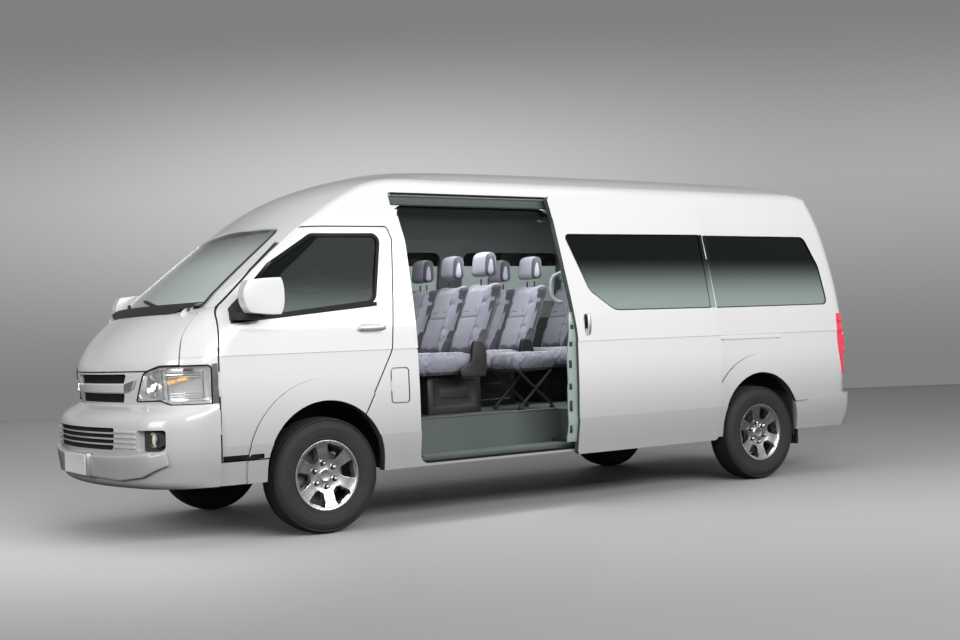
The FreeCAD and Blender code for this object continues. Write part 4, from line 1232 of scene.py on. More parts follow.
# %% Making bands, hoses and plates
def band(name, inner, outer, place, closed=True, rows=1, thick=0.002):
    """A strip between two lines that have the same number of points, cast onto the body."""
    count = len(inner)
    columns = count if closed else count - 1
    deselect_all()
    bpy.ops.mesh.primitive_grid_add(x_subdivisions=columns, y_subdivisions=rows, size=1)
    piece = name_new(name)
    for row in range(rows + 1):
        line = [a.lerp(b, row / rows) for a, b in zip(inner, outer)]
        spots = [place(p) for p in line]
        for i in range(columns + 1):
            spot = spots[i % count]
            piece.data.vertices[row * (columns + 1) + i].co = spot if spot is not None else (0, 0, -9)
    edit(piece, "VERT")
    mesh = bmesh.from_edit_mesh(piece.data)
    lost = [v for v in mesh.verts if v.co.z < -1]
    for vertex in lost:
        vertex.select = True
    if lost:
        bpy.ops.mesh.delete(type="VERT")
    bpy.ops.mesh.select_all(action="SELECT")
    bpy.ops.mesh.remove_doubles(threshold=0.0002)
    bpy.ops.mesh.normals_make_consistent(inside=False)
    done()
    return modify(piece, "SOLIDIFY", thickness=thick, offset=0)


def hose(name, points, radius, closed=False, sides=3):
    """A round bar led through points, drawn as a curve and then made a mesh."""
    deselect_all()
    bpy.ops.curve.primitive_nurbs_path_add()
    piece = bpy.context.object
    piece.name = name
    curve = piece.data
    curve.splines.clear()
    line = curve.splines.new("POLY")
    line.points.add(len(points) - 1)
    for spot, point in zip(line.points, points):
        spot.co = (*point, 1)
    line.use_cyclic_u = closed
    curve.dimensions = "3D"
    curve.bevel_depth = radius
    curve.bevel_resolution = sides
    curve.use_fill_caps = True
    bpy.ops.object.convert(target="MESH")
    return name_new(name)


def plate(name, points, low, high, axis="Y"):
    """A flat outline, drawn as a ring of points, filled and drawn out between two depths along an axis."""
    line = rounded(points)
    deselect_all()
    bpy.ops.mesh.primitive_circle_add(vertices=len(line), radius=1, fill_type="NGON")
    piece = name_new(name)
    spots = {
        "X": lambda p: (low, p.x, p.y),
        "Y": lambda p: (p.x, low, p.y),
        "Z": lambda p: (p.x, p.y, low),
    }[axis]
    for vertex, p in zip(piece.data.vertices, line):
        vertex.co = spots(p)
    edit(piece)
    bpy.ops.mesh.select_all(action="SELECT")
    step = {"X": (high - low, 0, 0), "Y": (0, high - low, 0), "Z": (0, 0, high - low)}[axis]
    bpy.ops.mesh.extrude_region_move(TRANSFORM_OT_translate={"value": step})
    bpy.ops.mesh.select_all(action="SELECT")
    bpy.ops.mesh.normals_make_consistent(inside=False)
    done()
    return piece


print("drawing tools ready")

# %% [markdown]
# ## The cabin behind the open door
# The photograph looks through the open side into the cabin: a rubber seal round the opening, charcoal boxes
# under the seats, hinge covers beside their backs, crossed legs under the folding seats, a step with a pale
# edge, and a grab handle on the rear pillar. Each is one moulding or one tube on the real vehicle, and is
# made as one here.

# %% Sealing the side opening
OPENING = [(1.142, 1.930, 0.06), (1.100, 1.700, 0.3), (1.085, 0.350, 0.06), (-0.225, 0.350, 0.09),
           (-0.060, 1.930, 0.12)]
SEAL_DEPTH = 0.036
SEAL_R = 0.009
SIDE_Y = 0.905
opening_line = rounded(OPENING)
edge_line = widened(opening_line, 0.002)
beside = widened(opening_line, 0.012)
within = widened(opening_line, -0.006)
on_side = side_place(["side_panel_left"])


def seal_depth(p):
    """The side's surface beside the opening; a point that misses it takes the side's usual breadth."""
    spot = on_side(p)
    return spot if spot is not None else Vector((p.x, SIDE_Y, p.y))


seal_points = [Vector((p.x, seal_depth(q).y - SEAL_DEPTH, p.y)) for p, q in zip(within, beside)]
seal = hose("door_seal", seal_points, SEAL_R, closed=True)
fit(seal, "body", "dark_plastic", seal_rubber)
lip_points = [Vector((p.x, seal_depth(q).y - 0.006, p.y)) for p, q in zip(edge_line, beside)]
lip = hose("opening_edge", lip_points, 0.004, closed=True)
fit(lip, "body", "dark_plastic", seal_rubber)
print("seal laid round the side opening,", len(seal_points), "points")

# %% Making the boxes under the seats
BOX_TOP = 0.868
RECESS = 0.007
BOX_ROUND = 0.014


def seat_box(name, low, high):
    """A moulded box with a framed recess in its front and in each end."""
    piece = block(name, low, high)
    edit(piece)
    pick_faces(piece, lambda f: abs(f.normal.z) < 0.1 and f.normal.x > -0.5)
    bpy.ops.mesh.inset(thickness=0.045, depth=0, use_individual=True)
    bpy.ops.mesh.inset(thickness=0.006, depth=-RECESS, use_individual=True)
    bpy.ops.mesh.inset(thickness=0.05, depth=0, use_individual=True)
    bpy.ops.mesh.inset(thickness=0.004, depth=0.004, use_individual=True)
    pick_faces(piece, lambda f: f.normal.z > 0.9 and abs(f.calc_center_median().z - high[2]) < 0.001)
    bpy.ops.mesh.inset(thickness=0.012, depth=-0.004)
    done()
    return round_edges(piece, BOX_ROUND / 4, 2)


box_ends = {"seat_row_1": 0.33, "seat_row_2": -0.23, "seat_row_3": -0.23, "seat_row_4": 0.60}
for node_name, end in box_ends.items():
    box_x = rows[node_name][0][0]
    piece = seat_box(f"base_{node_name}", (box_x + 0.08, -0.60, FLOOR_TOP), (box_x + 0.50, end, BOX_TOP))
    fit(piece, "body", "dark_plastic", charcoal_cover, 40)
    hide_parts("seat_bases")
print("four seat boxes")

# %% Making the hinge covers
COVER_SHAPE = [(0.150, -0.028, 0.02), (0.345, -0.028, 0.02), (0.360, 0.020, 0.02), (0.318, 0.050, 0.04),
               (0.262, 0.060, 0.05), (0.258, 0.150, 0.05), (0.240, 0.212, 0.03), (0.165, 0.212, 0.04),
               (0.140, 0.120, 0.06)]
COVER_GROOVE = [(0.225, 0.018, 0.005), (0.290, 0.040, 0.02), (0.232, 0.085, 0.02), (0.205, 0.075, 0.01)]
COVER_T = 0.032
cover = plate("cover_model", COVER_SHAPE, 0, COVER_T)
round_edges(cover, 0.008, 3, 50)
groove = plate("cover_groove", COVER_GROOVE, COVER_T - 0.004, COVER_T + 0.01)
modify(cover, "BOOLEAN", operation="DIFFERENCE", object=groove, solver="EXACT")
bpy.data.objects.remove(groove)
for node_name, end_y in (("seat_row_1", 0.30), ("seat_row_2", -0.10), ("seat_row_3", -0.10)):
    place_of = (rows[node_name][0][0], end_y + PAD_HALF + 0.004, SEAT_FOOT)
    fit(copy_of(cover, f"hinge_cover_{node_name}", place_of), "body", "dark_plastic", charcoal_cover, 40)
bpy.data.objects.remove(cover)
print("three hinge covers")

# %% Making the legs of the folding seats
LEG_R = 0.011


def crossed_legs(name, x, y):
    """Two steel tubes that cross under a folding seat and stand on round feet."""
    low, high = FLOOR_TOP + 0.012, SEAT_FOOT - 0.004
    tubes = []
    for start, end in ((x + 0.012, x + 0.278), (x + 0.278, x + 0.012)):
        path = [(start, y, low), (start, y, low + 0.01), (end, y, high - 0.01), (end, y, high)]
        tubes.append(hose(name, [Vector(p) for p in path], LEG_R, sides=4))
        tubes.append(drum(name, (start, y, FLOOR_TOP + 0.008), 0.018, 0.014, "Z", 20))
    return join(name, tubes)


for row in (1, 2):
    leg_x = ROW_START - ROW_PITCH * row + 0.26
    for number, leg_y in enumerate((0.177, 0.473), 1):
        legs = crossed_legs(f"legs_{row}_{number}", leg_x, leg_y)
        fit(legs, "body", "dark_plastic", dark_steel, 50)
        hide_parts("jump_seats")
print("folding legs made")

# %% Fitting the step edge and the grab handle
STEP_FRONT = 1.06
STEP_REAR = -0.20
STEP_EDGE_Y = 0.622
TREAD_Y = 0.66
TREAD_WIDE = 0.17
TREAD_STRIPS = 12


def is_rib(face):
    """True for every other strip of the tread's top."""
    strip_number = int((face.calc_center_median().y - TREAD_Y) / TREAD_WIDE * TREAD_STRIPS)
    return face.normal.z > 0.9 and strip_number % 2 == 0


pale_edge = block("step_edge", (STEP_REAR + 0.02, STEP_EDGE_Y - 0.03, 0.598),
                  (STEP_FRONT - 0.02, STEP_EDGE_Y + 0.004, 0.606))
round_edges(pale_edge, 0.003, 3)
fit(pale_edge, "body", "interior_trim", trim_green)
tread_pad = block("step_tread", (STEP_REAR + 0.05, TREAD_Y, 0.379),
                  (STEP_FRONT - 0.05, TREAD_Y + TREAD_WIDE, 0.384))
edit(tread_pad)
bpy.ops.mesh.select_all(action="SELECT")
for cut in range(1, TREAD_STRIPS):
    bpy.ops.mesh.bisect(plane_co=(0, TREAD_Y + cut * TREAD_WIDE / TREAD_STRIPS, 0), plane_no=(0, 1, 0))
    bpy.ops.mesh.select_all(action="SELECT")
pick_faces(tread_pad, is_rib)
bpy.ops.mesh.inset(thickness=0.002, depth=0.003)
done()
fit(tread_pad, "body", "interior_trim", floor_vinyl)
HANDLE_PATH = [(-0.135, 0.775, 1.310), (-0.105, 0.742, 1.322), (-0.090, 0.728, 1.360), (-0.092, 0.720, 1.410),
               (-0.100, 0.716, 1.460), (-0.118, 0.728, 1.496), (-0.150, 0.765, 1.508)]
handle = hose("grab_handle", [Vector(p) for p in HANDLE_PATH], 0.014, sides=5)
modify(handle, "SUBSURF", levels=1)
fit(handle, "body", "interior_trim", grip_plastic, 60)
print("step and grab handle made")

# %% Lining the channel above the opening
CHANNEL_X0 = -0.06
CHANNEL_X1 = 1.155
CHANNEL_LOW = 1.938
CHANNEL_HIGH = 1.985
SHADE_Z = 1.998
lining = band(
    "channel_lining",
    rounded([(CHANNEL_X1, CHANNEL_LOW), (CHANNEL_X0, CHANNEL_LOW)], False),
    rounded([(CHANNEL_X1, CHANNEL_HIGH), (CHANNEL_X0, CHANNEL_HIGH)], False),
    side_place(["side_panel_left"], lift=0.003), False, 2, 0.003)
fit(lining, "body", "interior_trim", trim_green)
lip_spots = [seal_depth(p) for p in straight((CHANNEL_X1, 1.941), (CHANNEL_X0, 1.941), 30)]
rail_lip = hose("channel_lip", [spot - Vector((0, 0.004, 0)) for spot in lip_spots], 0.014, sides=4)
fit(rail_lip, "body", "interior_trim", trim_green)
# Painted shade: a black bar stands in for the shade deep in the channel.
shade_line = rounded([(CHANNEL_X1, SHADE_Z), (CHANNEL_X0, SHADE_Z)], False)
shade = hose("channel_shade", [Vector((p.x, 0.790, p.y)) for p in shade_line], 0.007)
fit(shade, "body", "dark_plastic", seal_rubber)
print("channel lined")

# %% Painting daylight into the far windows
PANE_LOW = 1.240
PANE_HIGH = 1.800


def far_pane(number, rear, front):
    """A painted-daylight pane just inside the right side's glass; past an edge it takes the glass's middle."""
    middle = (rear + front) / 2

    def place(p):
        for x in (p.x, middle):
            found, spot, _, _ = nodes["side_glass"].ray_cast(Vector((x, 0, p.y)), Vector((0, -1, 0)))
            if found:
                return Vector((p.x, spot.y + 0.002, p.y))
        return None

    pane = band(f"daylight_{number}", straight((rear, PANE_LOW), (front, PANE_LOW), 12),
                straight((rear, PANE_HIGH), (front, PANE_HIGH), 12), place, False, 4, 0.001)
    fit(pane, "body", "glass", daylight_pane)


for number, (rear, front) in enumerate(((-2.46, -1.35), (-1.345, -0.37), (-0.215, 1.09)), 1):
    far_pane(number, rear, front)
print("far windows lit")

# %% [markdown]
# ## The side door's front edge
# The photograph looks along the open door's front edge: a pale green pressed frame with black latches on it.
# The frame is a strip that starts at the door's own edge and widens toward its foot.

# %% Making the door's edge frame
MINT = (0.36, 0.43, 0.41)
mint_paint = mottle(new_finish("mint_paint", MINT, 0.35, coat=0.6), MINT, (0.31, 0.38, 0.36), 5)
EDGE_WIDE = 0.070
EDGE_INSET = 0.030
SEARCH_FROM_X = 0.12
SEARCH_STEP = 0.005
EDGE_FOOT = 0.40
EDGE_RISE = 0.035


def door_edge(z):
    """The door's foremost point at a height, found by looking along it."""
    for step in range(80):
        x = SEARCH_FROM_X - step * SEARCH_STEP
        found, spot, _, _ = nodes["sliding_door"].ray_cast(Vector((x, CAST_FROM, z)), Vector((0, -1, 0)))
        if found and spot.y > 0.8:
            return Vector((x, spot.y, z))
    return None


edge_low, edge_wide = [], []
for step in range(25):
    spot = door_edge(EDGE_FOOT + EDGE_RISE * step)
    if spot is None:
        continue
    widening = min(1, max(0, (1.30 - spot.z) / 0.35))
    edge_low.append(Vector((spot.x - 0.004, spot.z)))
    edge_wide.append((Vector((spot.x + 0.006 + EDGE_WIDE * widening ** 0.7, spot.z)), spot.y - EDGE_INSET))
heights = {round(p.y, 4): y for p, y in edge_wide}
edge_frame = band("door_edge_frame", edge_low, [p for p, y in edge_wide],
                  lambda p: Vector((p.x, heights[round(p.y, 4)], p.y)), False, 2, 0.012)
round_edges(edge_frame, 0.004, 2, 50)
fit(edge_frame, "body", "interior_trim", mint_paint)
latches = []
for z, tall in ((0.46, 0.05), (0.60, 0.07), (0.74, 0.04), (0.88, 0.05), (1.02, 0.03), (1.13, 0.03)):
    near = min(edge_wide, key=lambda item: abs(item[0].y - z))
    x, y = near[0].x - 0.030, near[1]
    latches.append(block("latch", (x, y - 0.002, z), (x + 0.020, y + 0.014, z + tall)))
latches = join("door_latches", latches)
round_edges(latches, 0.004, 2)
fit(latches, "body", "dark_plastic", moulded_black)
print("door edge made")

# %% [markdown]
# ## Windows and their surrounds
# The cab windows sit in a thick black rubber. The passengers' glass is bonded flush and runs over the pillars
# as one dark band, so the pillar strips get a skin of the same glass. The other panes only show a thin rubber
# line.

# %% Framing the windows
pillar_glass = new_finish("pillar_glass", (0.02, 0.03, 0.03), 0.05)
# Painted reflection: the pillar glass turns paler toward its foot, as the other panes do.
GLASS_TOP_TONE = (0.006, 0.008, 0.009)
GLASS_FOOT_REFLECTION = (0.30, 0.37, 0.35)
fade_along(pillar_glass, GLASS_LOW_Z, GLASS_HIGH_Z, GLASS_FOOT_REFLECTION, GLASS_TOP_TONE)
FRONT_WINDOW = [(2.006, 1.564, 0.12), (2.275, 1.300, 0.025), (2.230, 1.246, 0.025), (1.363, 1.335, 0.06),
                (1.280, 1.742, 0.045), (1.736, 1.736, 0.06)]
SLIDE_GLASS = [(-0.075, 1.757, 0.03), (-0.225, 1.380, 0.12), (-0.420, 1.245, 0.14), (-1.305, 1.245, 0.03),
               (-1.290, 1.765, 0.03)]
QUARTER_FRONT = [(-0.340, 1.765, 0.04), (-1.325, 1.765, 0.025), (-1.325, 1.245, 0.025), (-0.520, 1.245, 0.12)]
QUARTER_REAR = [(-1.370, 1.765, 0.025), (-2.400, 1.765, 0.07), (-2.510, 1.540, 0.2), (-2.545, 1.250, 0.045),
                (-1.370, 1.245, 0.025)]
RIGHT_FRONT = [(1.040, 1.760, 0.06), (-0.190, 1.760, 0.06), (-0.190, 1.245, 0.06), (1.080, 1.245, 0.06)]
RIGHT_MIDDLE = [(-0.400, 1.760, 0.06), (-1.325, 1.760, 0.06), (-1.325, 1.245, 0.06), (-0.400, 1.245, 0.06)]

window_line = rounded(FRONT_WINDOW)
surround = band("window_rubber_left", widened(window_line, -0.012), widened(window_line, 0.008),
                side_place(["front_door_left"], ["door_glass_left"], lift=0.0015), rows=2, thick=0.004)
sill_line = rounded([(2.285, 1.252), (1.352, 1.335)], False)
sill_strip = band("window_sill_left", sill_line, [p + Vector((0, -0.024)) for p in sill_line],
                  side_place(["front_door_left"], ["door_glass_left"], lift=0.002), False, 1, 0.006)
surround = join("window_rubber_left", [surround, sill_strip])
fit_pair(surround, "dark_plastic", seal_rubber, body="front_door_left")


def rubber_line(name, outline, panel, pane, side):
    """A thin rubber bead where a pane meets its panel."""
    line = widened(rounded(outline), -0.003)
    cast = side_place([panel], [pane], side, -GLASS_SET * 0.5)
    spots = [cast(p) for p in line]
    bead = hose(name, [s for s in spots if s is not None], 0.004, closed=True, sides=2)
    return fit(bead, "body", "dark_plastic", seal_rubber)


rubber_line("bead_slide", SLIDE_GLASS, "sliding_door", "sliding_door_glass", 1)
rubber_line("bead_quarter", QUARTER_REAR, "side_panel_left", "side_glass", 1)
rubber_line("bead_quarter_front", QUARTER_FRONT, "side_panel_left", "side_glass", 1)
rubber_line("bead_right_front", RIGHT_FRONT, "side_panel_right", "side_glass", -1)
rubber_line("bead_right_middle", RIGHT_MIDDLE, "side_panel_right", "side_glass", -1)
rubber_line("bead_right_rear", QUARTER_REAR, "side_panel_right", "side_glass", -1)

PILLAR_LOW = 1.247
PILLAR_HIGH = 1.763
door_rim = band(
    "pillar_glass_door",
    straight((-1.290, PILLAR_LOW), (-1.278, PILLAR_HIGH), 18),
    straight((-1.384, PILLAR_LOW), (-1.350, PILLAR_HIGH), 18),
    side_place(["sliding_door"], ["sliding_door_glass"], lift=0.0005), False, 8, 0.001)
fit(door_rim, "body", "glass", pillar_glass)
for word, side in (("left", 1), ("right", -1)):
    strip = band(
        f"pillar_glass_{word}",
        rounded([(-1.300, PILLAR_LOW), (-1.300, PILLAR_HIGH)], False),
        rounded([(-1.400, PILLAR_LOW), (-1.400, PILLAR_HIGH)], False),
        side_place([f"side_panel_{word}"], ["side_glass"], side, 0.0005), False, 3, 0.001)
    fit(strip, "body", "glass", pillar_glass)
print("windows framed")

# %% [markdown]
# ## Door handles, mouldings and mirrors
# A pull handle stands on two feet over a shallow dish, with the lock beside it. The side door's handle stands
# upright. The mirror heads are painted shells with the glass sunk in their rear face, on a black foot.

# %% Making the handles
FRONT_HANDLE = (1.405, 0.933, 1.180)
SLIDE_HANDLE = (-0.172, 0.990, 1.160)


def pull_handle(name, long, deep):
    """A bar with two feet, made from one block: its ends are drawn in, and its middle is bowed outward."""
    bar = block(name, (-long / 2, 0.012, -0.014), (long / 2, 0.012 + deep, 0.014))
    edit(bar)
    bpy.ops.mesh.select_all(action="SELECT")
    for k in range(1, 8):
        bpy.ops.mesh.bisect(plane_co=(-long / 2 + long * k / 8, 0, 0), plane_no=(1, 0, 0))
        bpy.ops.mesh.select_all(action="SELECT")
    for end in (-1, 1):
        pick_faces(bar, lambda f: f.normal.y < -0.9 and f.calc_center_median().x * end > long * 0.36)
        bpy.ops.mesh.extrude_region_move(TRANSFORM_OT_translate={"value": (0, -0.022, 0)})
    done()
    for vertex in bar.data.vertices:
        along = vertex.co.x / (long / 2)
        if vertex.co.y > 0.005:
            vertex.co.y += 0.006 * (1 - along * along)
        vertex.co.z *= 1 - 0.18 * along * along
    return round_edges(bar, 0.005, 3)


pull = pull_handle("handle_model", 0.172, 0.016)
dish_line = [(-0.088, -0.030, 0.02), (0.062, -0.030, 0.02), (0.092, 0.026, 0.02), (-0.088, 0.026, 0.02)]
dish = plate("handle_dish", dish_line, 0, 0.004)
edit(dish)
pick_faces(dish, lambda f: f.normal.y > 0.9)
bpy.ops.mesh.inset(thickness=0.008, depth=-0.003)
done()
lock = drum("handle_lock", (-0.078, 0.014, 0.003), 0.010, 0.022, "Y", 24)
edit(lock)
pick_faces(lock, lambda f: f.normal.y > 0.9)
bpy.ops.mesh.inset(thickness=0.003, depth=-0.002)
done()
for body, mirror in (("front_door_left", False), ("front_door_right", True)):
    for model, finish in ((pull, satin_silver), (dish, pearl_paint), (lock, bright_chrome)):
        piece = copy_of(model, f"{model.name}_{body}", FRONT_HANDLE, mirror)
        fit(piece, body, "body_paint" if finish is pearl_paint else "dark_plastic", finish, 40)
upright = Matrix.Rotation(math.pi / 2, 4, "Y") @ Matrix.Diagonal((0.78, 1, 0.8, 1))
for model, finish in ((pull, satin_silver), (dish, gloss_black)):
    piece = copy_of(model, f"{model.name}_side_door", SLIDE_HANDLE, turn=upright)
    fit(piece, "body", "dark_plastic", finish, 40)
for model in (pull, dish, lock):
    bpy.data.objects.remove(model)
print("three handles")

# %% Laying the door moulding
MOULDING_LOW = 0.4715
MOULDING_HIGH = 0.498
moulding = band("door_moulding_left", straight((2.360, MOULDING_LOW), (2.125, MOULDING_LOW), 8),
                straight((2.360, MOULDING_HIGH), (2.125, MOULDING_HIGH), 8),
                side_place(["front_door_left"], lift=0.003), False, 1, 0.006)
fit_pair(moulding, "dark_plastic", seal_rubber, body="front_door_left")
print("moulding laid")

# %% Making the mirrors
MIRROR_LOW = (2.040, 0.985, 1.268)
MIRROR_HIGH = (2.278, 1.108, 1.474)
MIRROR_Y = 1.045
MIRROR_Z = 1.375
PANE_SHAPE = [(1.000, 1.296, 0.03), (1.094, 1.296, 0.03), (1.094, 1.452, 0.03), (1.000, 1.452, 0.03)]
FOOT_SHAPE = [(2.285, 0.880, 0.01), (2.255, 1.000, 0.02), (2.150, 1.045, 0.02), (2.110, 1.010, 0.01),
              (2.205, 0.880, 0.02)]


def mirror_shape(p):
    """Rounds the head toward its front and lets its outer top corner fall away."""
    long = (p.x - MIRROR_LOW[0]) / (MIRROR_HIGH[0] - MIRROR_LOW[0])
    high = abs(p.z - MIRROR_Z) / 0.1
    narrow = 1 - 0.34 * max(0, long) ** 2.2
    lower = 1 - 0.13 * max(0, long) ** 2
    curl = 0.035 * high ** 3 * max(0, 0.6 - long)
    x = p.x - 0.034 * high ** 2 * max(0, long) ** 2 + curl
    return Vector((x, MIRROR_Y + (p.y - MIRROR_Y) * narrow, MIRROR_Z + (p.z - MIRROR_Z) * lower))


head = block("mirror_head_left", MIRROR_LOW, MIRROR_HIGH)
edit(head)
pick_faces(head, lambda f: f.normal.x < -0.9)
bpy.ops.mesh.inset(thickness=0.012, depth=0)
bpy.ops.mesh.inset(thickness=0.004, depth=-0.010)
done()
round_edges(head, 0.048, 3, 60)
modify(head, "SUBSURF", levels=2)
for vertex in head.data.vertices:
    vertex.co = mirror_shape(vertex.co)
pane = plate("mirror_glass_left", PANE_SHAPE, MIRROR_LOW[0] + 0.004, MIRROR_LOW[0] + 0.008, "X")
foot = plate("mirror_foot_left", FOOT_SHAPE, 1.246, 1.290, "Z")
round_edges(foot, 0.008, 3)
sail = band("mirror_sail_left", straight((2.290, 1.246), (2.160, 1.246), 8),
            straight((2.280, 1.310), (2.160, 1.420), 8),
            side_place(["front_door_left"], ["door_glass_left"], lift=0.003), False, 3, 0.006)
mirror_parts = [(head, pearl_paint, "body_paint"), (pane, bright_chrome, "silver_trim"),
                (foot, moulded_black, "dark_plastic"), (sail, moulded_black, "dark_plastic")]
for piece, finish, slot_name in mirror_parts:
    twin = fit_pair(piece, slot_name, finish, 40, "front_door_left")
    if piece in (head, foot):
        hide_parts("mirror_left")
        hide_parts("mirror_right")
print("two mirrors")

# %% [markdown]
# ## Lamps and grille
# A headlamp is a clear lens over a bright bowl with a round reflector, an amber indicator and moulded ribs.
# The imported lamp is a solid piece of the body's skin, so a copy of it is taken apart: its outer faces become
# the lens, and the rest of them become the bowl. A rubber bead follows the lens's own edge.

# %% Taking the lamps apart
lens_clear = new_finish("lens_clear", (0.95, 0.96, 0.97), 0.03, alpha=0.07)
bowl_silver = wear(new_finish("bowl_silver", (0.88, 0.88, 0.89), 0.22, metallic=0.55), 30, 0.10, 0.3)
# Painted highlights: the amber indicator and the white bulb glow, standing in for bright reflections in the
# unlit lamp.
amber_plastic = new_finish("amber_plastic", (1.0, 0.50, 0.10), 0.2, coat=0.8)
glow_softly(amber_plastic, (1, 0.5, 0.1), 0.35)
bulb_white = glow_softly(new_finish("bulb_white", (1.0, 0.94, 0.82), 0.2), (1, 0.93, 0.8), 3.0)
# Painted glow: the red lens glows faintly with a light of its own.
red_lens = wear(new_finish("red_lens", (0.62, 0.02, 0.05), 0.12, coat=1.0), 16, 0.08, 0.16)
glow_softly(red_lens, (1, 0.10, 0.18), 0.35)


def faces_of(node_name, name, keep):
    """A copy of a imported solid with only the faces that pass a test."""
    piece = copy_of(nodes[node_name], name)
    edit(piece)
    bpy.ops.mesh.select_all(action="SELECT")
    bpy.ops.mesh.remove_doubles(threshold=0.00005)
    bpy.ops.mesh.select_all(action="DESELECT")
    pick_faces(piece, lambda f: not keep(f))
    bpy.ops.mesh.delete(type="FACE")
    done()
    return piece


def edge_bead(piece, name, radius):
    """A rubber bead that follows the open edge of a shell."""
    edit(piece, "EDGE")
    bpy.ops.mesh.select_all(action="SELECT")
    bpy.ops.mesh.region_to_loop()
    bpy.ops.mesh.duplicate()
    bpy.ops.mesh.separate(type="SELECTED")
    done()
    edge = [o for o in bpy.context.selected_objects if o is not piece][0]
    deselect_all()
    edge.select_set(True)
    bpy.context.view_layer.objects.active = edge
    bpy.ops.object.convert(target="CURVE")
    edge = bpy.context.object
    edge.data.bevel_depth = radius
    edge.data.bevel_resolution = 2
    bpy.ops.object.convert(target="MESH")
    edge = bpy.context.object
    edge.name = name
    return edge


LAMP_OUTWARD = Vector((0.82, 0.57, 0))
LAMP_CENTRE = Vector((2.30, 0.56, 0))
DISH_R = 0.062
DISH_PROFILE = [(-0.016, 0.018), (-0.012, 0.034), (0.000, 0.050), (0.016, DISH_R), (0.019, DISH_R + 0.004),
                (0.014, DISH_R + 0.005)]


def on_left(face):
    """True for the faces of the left lamp."""
    return face.calc_center_median().y > 0


def facing_out(face):
    """True for the faces that look forward and outward."""
    return face.normal.dot(LAMP_OUTWARD) > 0.35 and face.normal.z ** 2 < 0.5


def lamp_point(degrees, z, depth):
    """A point behind the lens, by its bearing from the middle of the lamp's curve."""
    way = Vector((math.cos(math.radians(degrees)), math.sin(math.radians(degrees)), 0))
    start = LAMP_CENTRE + Vector((0, 0, z))
    found, spot, _, _ = nodes["headlamps"].ray_cast(start + way * 2, -way)
    return spot - way * depth if found else None


def lamp_bar(bearings, heights, depth, radius, sides=3):
    """A round bar that follows the lens a little behind it."""
    spots = [lamp_point(a, z, depth) for a, z in zip(bearings, heights)]
    return hose("lamp_bar", [s for s in spots if s], radius, sides=sides)


def dress_headlamp():
    """Builds the left headlamp from its lens inward, and mirrors each piece to the right."""
    shell = faces_of("headlamps", "headlamp_lens_left", lambda f: on_left(f) and facing_out(f))
    bead = edge_bead(shell, "headlamp_bead_left", 0.0045)
    modify(shell, "SOLIDIFY", thickness=0.003, offset=-1)
    bowl = faces_of("headlamps", "headlamp_bowl_left", lambda f: on_left(f) and not facing_out(f))
    modify(bowl, "SOLIDIFY", thickness=0.002, offset=0)
    middle = lamp_point(13, 0.893, 0.030)
    dish_points = [(middle.x + depth, middle.y, middle.z + r) for depth, r in DISH_PROFILE]
    dish_bowl = turned("headlamp_dish_left", dish_points, middle, 48, (1, 0, 0))
    modify(dish_bowl, "SOLIDIFY", thickness=0.0015, offset=0)
    bulb = drum("headlamp_bulb_left", middle + Vector((0.004, 0, 0)), 0.013, 0.03, "X", 24)
    round_edges(bulb, 0.006, 4)
    parts = [(shell, lens_clear, "clear_lamp"), (bead, seal_rubber, "dark_plastic"),
             (bowl, bowl_silver, "clear_lamp"), (dish_bowl, bright_chrome, "clear_lamp"),
             (bulb, bulb_white, "clear_lamp")]
    fins = [lamp_bar(range(36, 69, 4), [z] * 9, 0.014, 0.0032) for z in (0.812, 0.826, 0.840, 0.854)]
    fins += [lamp_bar([degrees] * 4, (0.822, 0.87, 0.93, 0.975), 0.020, 0.005) for degrees in (27, 33, 66)]
    parts.append((join("headlamp_ribs_left", fins), bright_chrome, "clear_lamp"))
    amber = [lamp_bar(range(34, 41, 2), (0.912, 0.915, 0.918, 0.921), 0.022, 0.011, 5),
             lamp_bar(range(44, 53, 2), (0.926, 0.928, 0.930, 0.932, 0.934), 0.022, 0.009, 5)]
    parts.append((join("indicator_left", amber), amber_plastic, "clear_lamp"))
    reflector = lamp_bar(range(32, 66, 4), [0.956] * 9, 0.026, 0.014, 5)
    reflector.name = "side_reflector_left"
    parts.append((reflector, bright_chrome, "clear_lamp"))
    shade = lamp_bar((50, 54, 58), [0.982] * 3, 0.012, 0.010)
    shade.name = "lamp_shade_left"
    parts.append((shade, gloss_black, "clear_lamp"))
    for piece, finish, slot_name in parts:
        twin = fit_pair(piece, slot_name, finish, 40)
        if piece is shell:
            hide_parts("headlamps")
            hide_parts("headlamps")


dress_headlamp()
print("headlamps made")

# %% Dressing the tail lamps
TAIL_EDGE = [(-2.619, 1.182), (-2.619, 1.060), (-2.618, 0.980), (-2.630, 0.890), (-2.660, 0.732)]
TAIL_ROWS = 24
TAIL_REAR_X = -2.752


def along(points, share):
    """The place on a broken line at a share of its height."""
    z = points[0][1] + (points[-1][1] - points[0][1]) * share
    for (x0, z0), (x1, z1) in zip(points, points[1:]):
        if z0 >= z >= z1:
            return Vector((x0 + (x1 - x0) * (z0 - z) / (z0 - z1), z))
    return Vector(points[-1])


